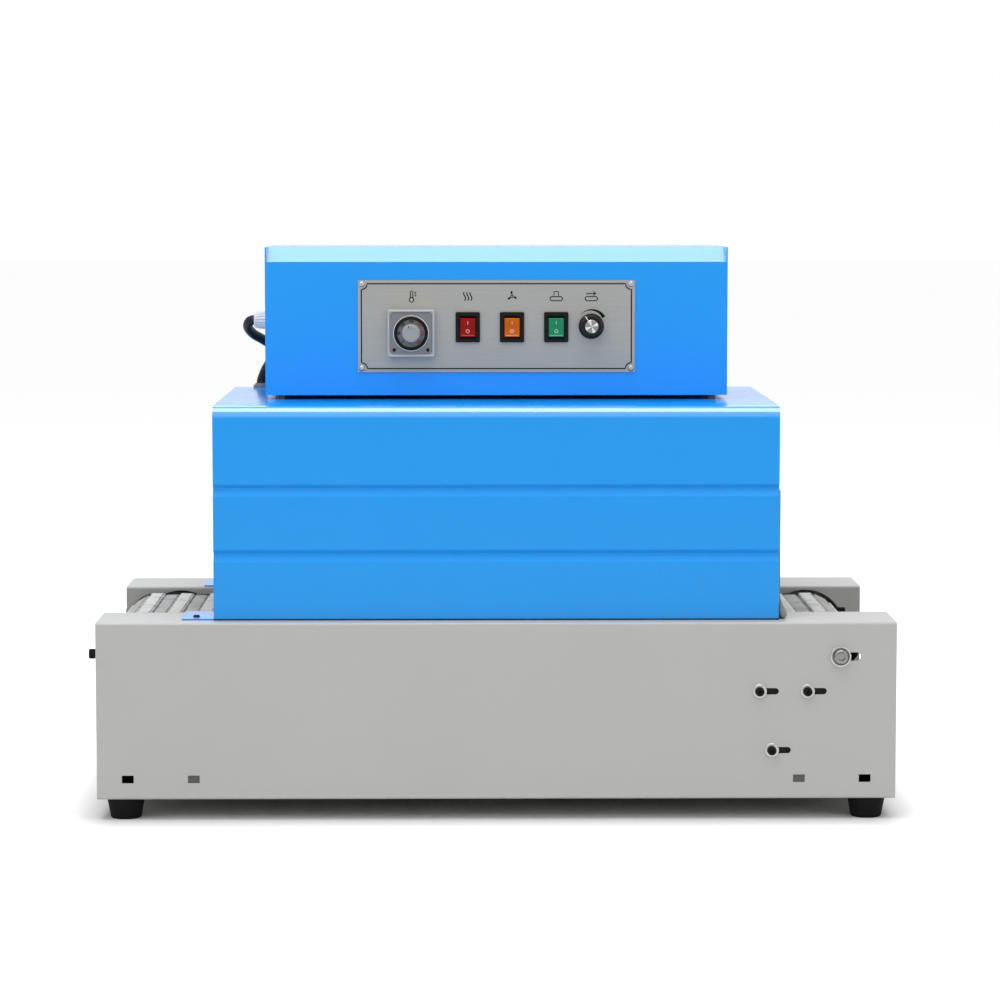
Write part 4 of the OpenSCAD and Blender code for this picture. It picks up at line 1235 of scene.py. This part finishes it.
controller = {
    "rimRows": ((0.0, 0.0), (0.0, -0.98), (0.35, -1.4), (1.7, -1.4), (2.2, -0.2), (2.2, 0.0)),  # inset, y
    "rimSoft": (2.0, 0.3),  # outer corner radius, least radius
    "rimSteps": 4,
    "face": (2.3, 17.3, 0.3, 0.28),  # inset, hole's radius, rise, thickness
    "roundSteps": 64,
    "ringRise": 0.1,
    "ring": ((17.4, 0.0), (17.4, 1.4), (16.6, 2.0), (14.9, 2.0), (14.3, 1.2), (14.3, 0.0)),
    "halo": ((17.7, 0.2), (17.7, 0.5), (18.4, 0.5), (18.4, 0.2)),
    "dots": (17.3, -17.0, 0.2),  # aside, down, rise
    "dotSteps": 20,
    "dot": ((1.8, 0), (1.8, 0.5), (1.44, 0.8)),
    "disc": ((15.9, 0.0), (15.9, 2.3), (15.7, 2.5), (9.7, 2.5)),
    "knob": ((9.7, 2.4), (9.6, 3.4, "fluted"), (9.3, 9.6, "fluted"), (9.0, 10.7), (8.4, 11.3), (6.4, 11.5),
             (6.2, 11.2), (1.0, 11.0)),
    "knobFlutes": (40, 0.3),  # number, depth
    "knobSteps": 160,
    "numbers": ("0", "50", "100", "150", "200", "250", "300"),
    "redFrom": 4,
    "numberSize": 3.5,
    "numberBold": 0.1,
    "numberRadius": 12.1,
    "numberThick": 0.03,
    "numberWeld": 0.001,
    "startAngle": 225.0,
    "sweep": 270.0,
    "ticksEach": 5,
    "tick": ((14.0, 15.4), 0.42),  # from, to, width
    "longTick": (13.8, 15.6),
    "tickThick": 0.05,
    "pointer": ((6.6, 8.4), 0.9, 1.9),  # from, to, width, angle in radians
    "pointerDepth": (-0.02, 0.3),
}


# Square face with a round hole: bridges a square rim to a circle
def squareToRound(bm, half, radius, place, y, thick, steps=48):
    rows = []
    for depth, order in ((y, 1), (y + thick, -1)):
        outer, inner = [], []
        for k in range(steps):
            a = fullTurn * (k + 0.5) / steps
            c, s = math.cos(a), math.sin(a)
            reach = half / max(abs(c), abs(s))
            outer.append(bm.verts.new((place.x + reach * c, depth, place.z + reach * s)))
            inner.append(bm.verts.new((place.x + radius * c, depth, place.z + radius * s)))
        rows += [outer, inner][::order]
    skin(bm, rows, loop=True)


# Digits as a thin mesh, centred on the origin and facing -Y
def digits(bm, text, c, place):
    curve = bpy.data.curves.new("digits", "FONT")
    curve.body = text
    curve.size = c["numberSize"] * mm
    curve.align_x, curve.align_y = "CENTER", "CENTER"
    curve.extrude = c["numberThick"] * mm
    curve.offset = c["numberBold"] * mm
    obj = linked("digits", curve)
    mesh = plainMesh(obj)
    mesh.transform(place @ Matrix.Rotation(math.pi / 2, 4, "X"))
    bm.from_mesh(mesh)
    bmesh.ops.remove_doubles(bm, verts=bm.verts, dist=c["numberWeld"] * mm)
    bpy.data.objects.remove(obj)
    bpy.data.meshes.remove(mesh)


def addController(c):
    low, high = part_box("temp_controller")
    mid = centre("temp_dial")
    half = (high.x - low.x) / 2 / mm
    face = low.y
    soft, least = c["rimSoft"]
    bm = bmesh.new()
    loops = []
    for inset, y in c["rimRows"]:
        r, bend = half - inset, max(soft - inset, least)
        rounded = filletLine([(-r, -r), (r, -r), (r, r), (-r, r)], [bend] * 4, c["rimSteps"], True)
        loops.append([bm.verts.new((mid.x + q.x * mm, face + y * mm, mid.z + q.y * mm)) for q in rounded])
    skin(bm, loops, loop=True)
    piece("controllerRim", bm, "controller_plastic")

    bm = bmesh.new()
    inset, hole, rise, thick = c["face"]
    squareToRound(bm, (half - inset) * mm, hole * mm, mid, face - rise * mm, thick * mm)
    piece("controllerFace", bm, "controller_plastic", material=faceGrey)

    bm = bmesh.new()
    front = facing((mid.x, face - c["ringRise"] * mm, mid.z))
    turned(bm, c["ring"], c["roundSteps"], place=front, loop=True)
    x, z, rise = c["dots"]
    for side in (-1, 1):
        spot = (mid.x + side * x * mm, face - rise * mm, mid.z + z * mm)
        turned(bm, c["dot"], c["dotSteps"], place=facing(spot))
    piece("controllerRing", bm, "black_plastic")
    bm = bmesh.new()
    turned(bm, c["halo"], c["roundSteps"], place=front, loop=True)
    piece("controllerHalo", bm, "controller_plastic", material=whiteInk)


def addTempDial(c):
    body, slot = "temp_dial", "controller_plastic"
    mid = centre(body)
    low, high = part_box(body)
    place = facing((mid.x, high.y, mid.z))
    bm = bmesh.new()
    turned(bm, c["disc"], c["roundSteps"], place=place)
    piece("tempDisc", bm, slot, [body], body, material=faceGrey)
    bm = bmesh.new()
    turned(bm, c["knob"], c["knobSteps"], *c["knobFlutes"], place)
    piece("tempKnob", bm, slot, body=body, material=knobGrey)
    top = high.y - c["disc"][-1][1] * mm
    dark, red = bmesh.new(), bmesh.new()
    each = c["ticksEach"]
    last = (len(c["numbers"]) - 1) * each
    tick, width = c["tick"]
    for k in range(last + 1):
        a = math.radians(c["startAngle"] - c["sweep"] * k / last)
        bm = red if k >= c["redFrom"] * each else dark
        ray = placed([(r * math.cos(a), r * math.sin(a)) for r in (tick if k % each else c["longTick"])], mid)
        printedLine(bm, ray, width * mm, top - c["tickThick"] * mm, top)
        if k % each == 0:
            r = c["numberRadius"] * mm
            spot = (mid.x + r * math.cos(a), top - c["numberThick"] * mm, mid.z + r * math.sin(a))
            turn = Matrix.Rotation(math.pi / 2 - a, 4, "Y")
            digits(bm, c["numbers"][k // each], c, Matrix.Translation(spot) @ turn)
    reach, width, a = c["pointer"]
    pointer = placed([(r * math.cos(a), r * math.sin(a)) for r in reach], mid)
    printedLine(dark, pointer, width * mm, *(low.y + y * mm for y in c["pointerDepth"]))
    piece("tempNumbers", dark, slot, body=body, material=inkFinish)
    piece("tempRedNumbers", red, slot, body=body, material=redInk)


addController(controller)
addTempDial(controller)
print("temperature controller dressed")


rockers = {
    "lens": (0.618, 0.615),  # share of the bezel's width and height
    "swing": 14.0,
    "front": 3.2,  # front of the middle ridge before the pivot
    "back": 4.5,
    "rim": 1.5,
    "soft": 0.45,
    "softSteps": 3,
    "smooth": 0.5,
    "strokeUp": 5.0,
    "ringDown": 3.6,
    "markLine": 0.45,
    "print": 0.05,
    "stroke": 3.6,
    "ringRadius": 1.62,
    "ringSteps": 24,
    "rib": (0.7, 0.5, 0.2),  # width, height, depth below the lens
    "ribDown": 0.86,
    "ribReach": 0.43,
    "ribLook": (0.15, 0.25, 0.03, 0.0, 0.1),
    # lighter copies of the lens colours, a painted highlight on each rib
    "ribHighlightColors": {"red": (0.72, 0.10, 0.07), "orange": (0.92, 0.48, 0.22), "green": (0.20, 0.66, 0.42)},
}


def addRocker(name, r):
    body, slot = name + "_rocker", name + "_lens"
    joint = next(j for j in frame["record"]["behaviour"]["joints"] if j["child"] == body)
    low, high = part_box(name + "_switch")
    wide, h = (high.x - low.x) * r["lens"][0], (high.z - low.z) * r["lens"][1] / 2
    lean = math.radians(r["swing"] / 2)
    slope = math.tan(lean)
    front, back, rim = (r[key] * mm for key in ("front", "back", "rim"))
    tip = -front - h * slope
    stand = Matrix.Translation(Vector(joint["pos_m"])) @ Matrix.Rotation(lean, 4, "X")
    bm = bmesh.new()
    barAlongX(bm, [(-front, 0), (tip, h), (rim, h), (back, 0), (rim, -h), (tip, -h)], -wide / 2, wide / 2)
    bmesh.ops.bevel(bm, geom=bm.edges[:], offset=r["soft"] * mm, segments=r["softSteps"], profile=0.5,
                    affect="EDGES")
    bm.transform(stand)
    piece(name + "Lens", bm, slot, [body], body, r["smooth"])

    # Painted highlight: a rib along the foot of the lens in a lighter copy of the lens colour
    bm = bmesh.new()
    thick, tall, sunk = (v * mm for v in r["rib"])
    z = -h * r["ribDown"]
    y = -front + z * slope
    reach = wide * r["ribReach"]
    barAlongX(bm, [(y + sunk, z), (y - tall, z), (y - tall, z + thick), (y + sunk, z + thick)], -reach, reach)
    bm.transform(stand)
    ribHighlight = mouldFinish(name + "RibHighlight", r["ribHighlightColors"][name], *r["ribLook"])
    piece(name + "Rib", bm, slot, body=body, material=ribHighlight)

    bm = bmesh.new()
    stroke = [(0, -r["stroke"] / 2 * mm), (0, r["stroke"] / 2 * mm)]
    ring = circle(0, 0, r["ringRadius"] * mm, r["ringSteps"])
    for points, z, sign in ((stroke, r["strokeUp"] * mm, 1), (ring, -r["ringDown"] * mm, -1)):
        spot = Matrix.Translation((0, -front - abs(z) * slope, z)) @ Matrix.Rotation(sign * lean, 4, "X")
        printedLine(bm, points, r["markLine"] * mm, -r["print"] * mm, 0.0, points is ring, stand @ spot)
    piece(name + "Marks", bm, slot, body=body, material=whiteInk)


for name in rockers["ribHighlightColors"]:
    addRocker(name, rockers)
print("rockers set")


knob = {
    "profile": ((12.6, 0.0), (13.0, 0.4), (13.0, 2.4), (12.6, 2.9), (11.7, 3.1), (11.3, 3.6, "fluted"),
                (10.7, 12.6, "fluted"), (10.3, 13.6), (9.6, 14.0), (7.3, 14.0), (7.1, 13.6), (2.0, 13.6)),
    "flutes": (30, 0.5),  # number, depth
    "steps": 180,
    "behind": 0.5,  # foot of the knob before the plate
    "shaft": 3.0,
    "shaftSteps": 24,
    "cap": ((6.9, 13.5), (6.9, 14.0), (6.6, 14.3), (0.6, 14.3)),
    "capSteps": 64,
    "capLook": ((0.78, 0.78, 0.77), 0.2, 0.3, 0.1, 0.05),
    "sheenWedges": 4.0,
    "sheenDark": 0.35,
    "pointer": ((11.8, 3.15), (11.4, 3.6), (10.8, 12.6), (10.4, 13.65), (9.65, 14.06), (7.5, 14.06),
                (7.5, 13.7), (9.2, 13.7), (9.9, 3.15)),
    "pointerAngle": 121.0,
    "pointerWidth": 0.9,
}


# Spun cap: painted reflection, bright and dark wedges round the middle
def paintedCapSheen(mid, k):
    mat = metalFinish("spunCapSheen", *k["capLook"])
    tree = mat.node_tree
    parts = split(tree, vectorMath(tree, "SUBTRACT", objectCoords(tree), mid))
    angle = mathNode(tree, "ARCTAN2", parts["Z"], parts["X"])
    sheenWedge = mathNode(tree, "SINE", mathNode(tree, "MULTIPLY", angle, k["sheenWedges"]))
    shadeBase(mat, 1.0, mapped(tree, sheenWedge, k["sheenDark"], 1.0))
    return mat


def addKnob(k):
    body = "speed_knob"
    mid = centre(body)
    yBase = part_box("control_plate")[0].y - k["behind"] * mm
    place = facing((mid.x, yBase, mid.z))
    bm = bmesh.new()
    turned(bm, k["profile"], k["steps"], *k["flutes"], place)
    shaftBack = (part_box(body)[1].y - yBase) / mm
    turned(bm, ((k["shaft"], -shaftBack), (k["shaft"], k["behind"])), k["shaftSteps"], place=place)
    piece("knobBody", bm, "black_plastic", [body], body, material=glossBlack)
    bm = bmesh.new()
    turned(bm, k["cap"], k["capSteps"], place=place)
    piece("knobFace", bm, "plate_aluminium", ["knob_cap"], body, material=paintedCapSheen(mid, k))
    bm = bmesh.new()
    half = k["pointerWidth"] / 2 * mm
    slab(bm, [(r * mm, h * mm) for r, h in k["pointer"]], -half, half)
    bm.transform(place @ Matrix.Rotation(math.radians(k["pointerAngle"]), 4, "Z"))
    piece("knobPointer", bm, "black_plastic", body=body, material=whiteInk)


addKnob(knob)
print("speed knob set")
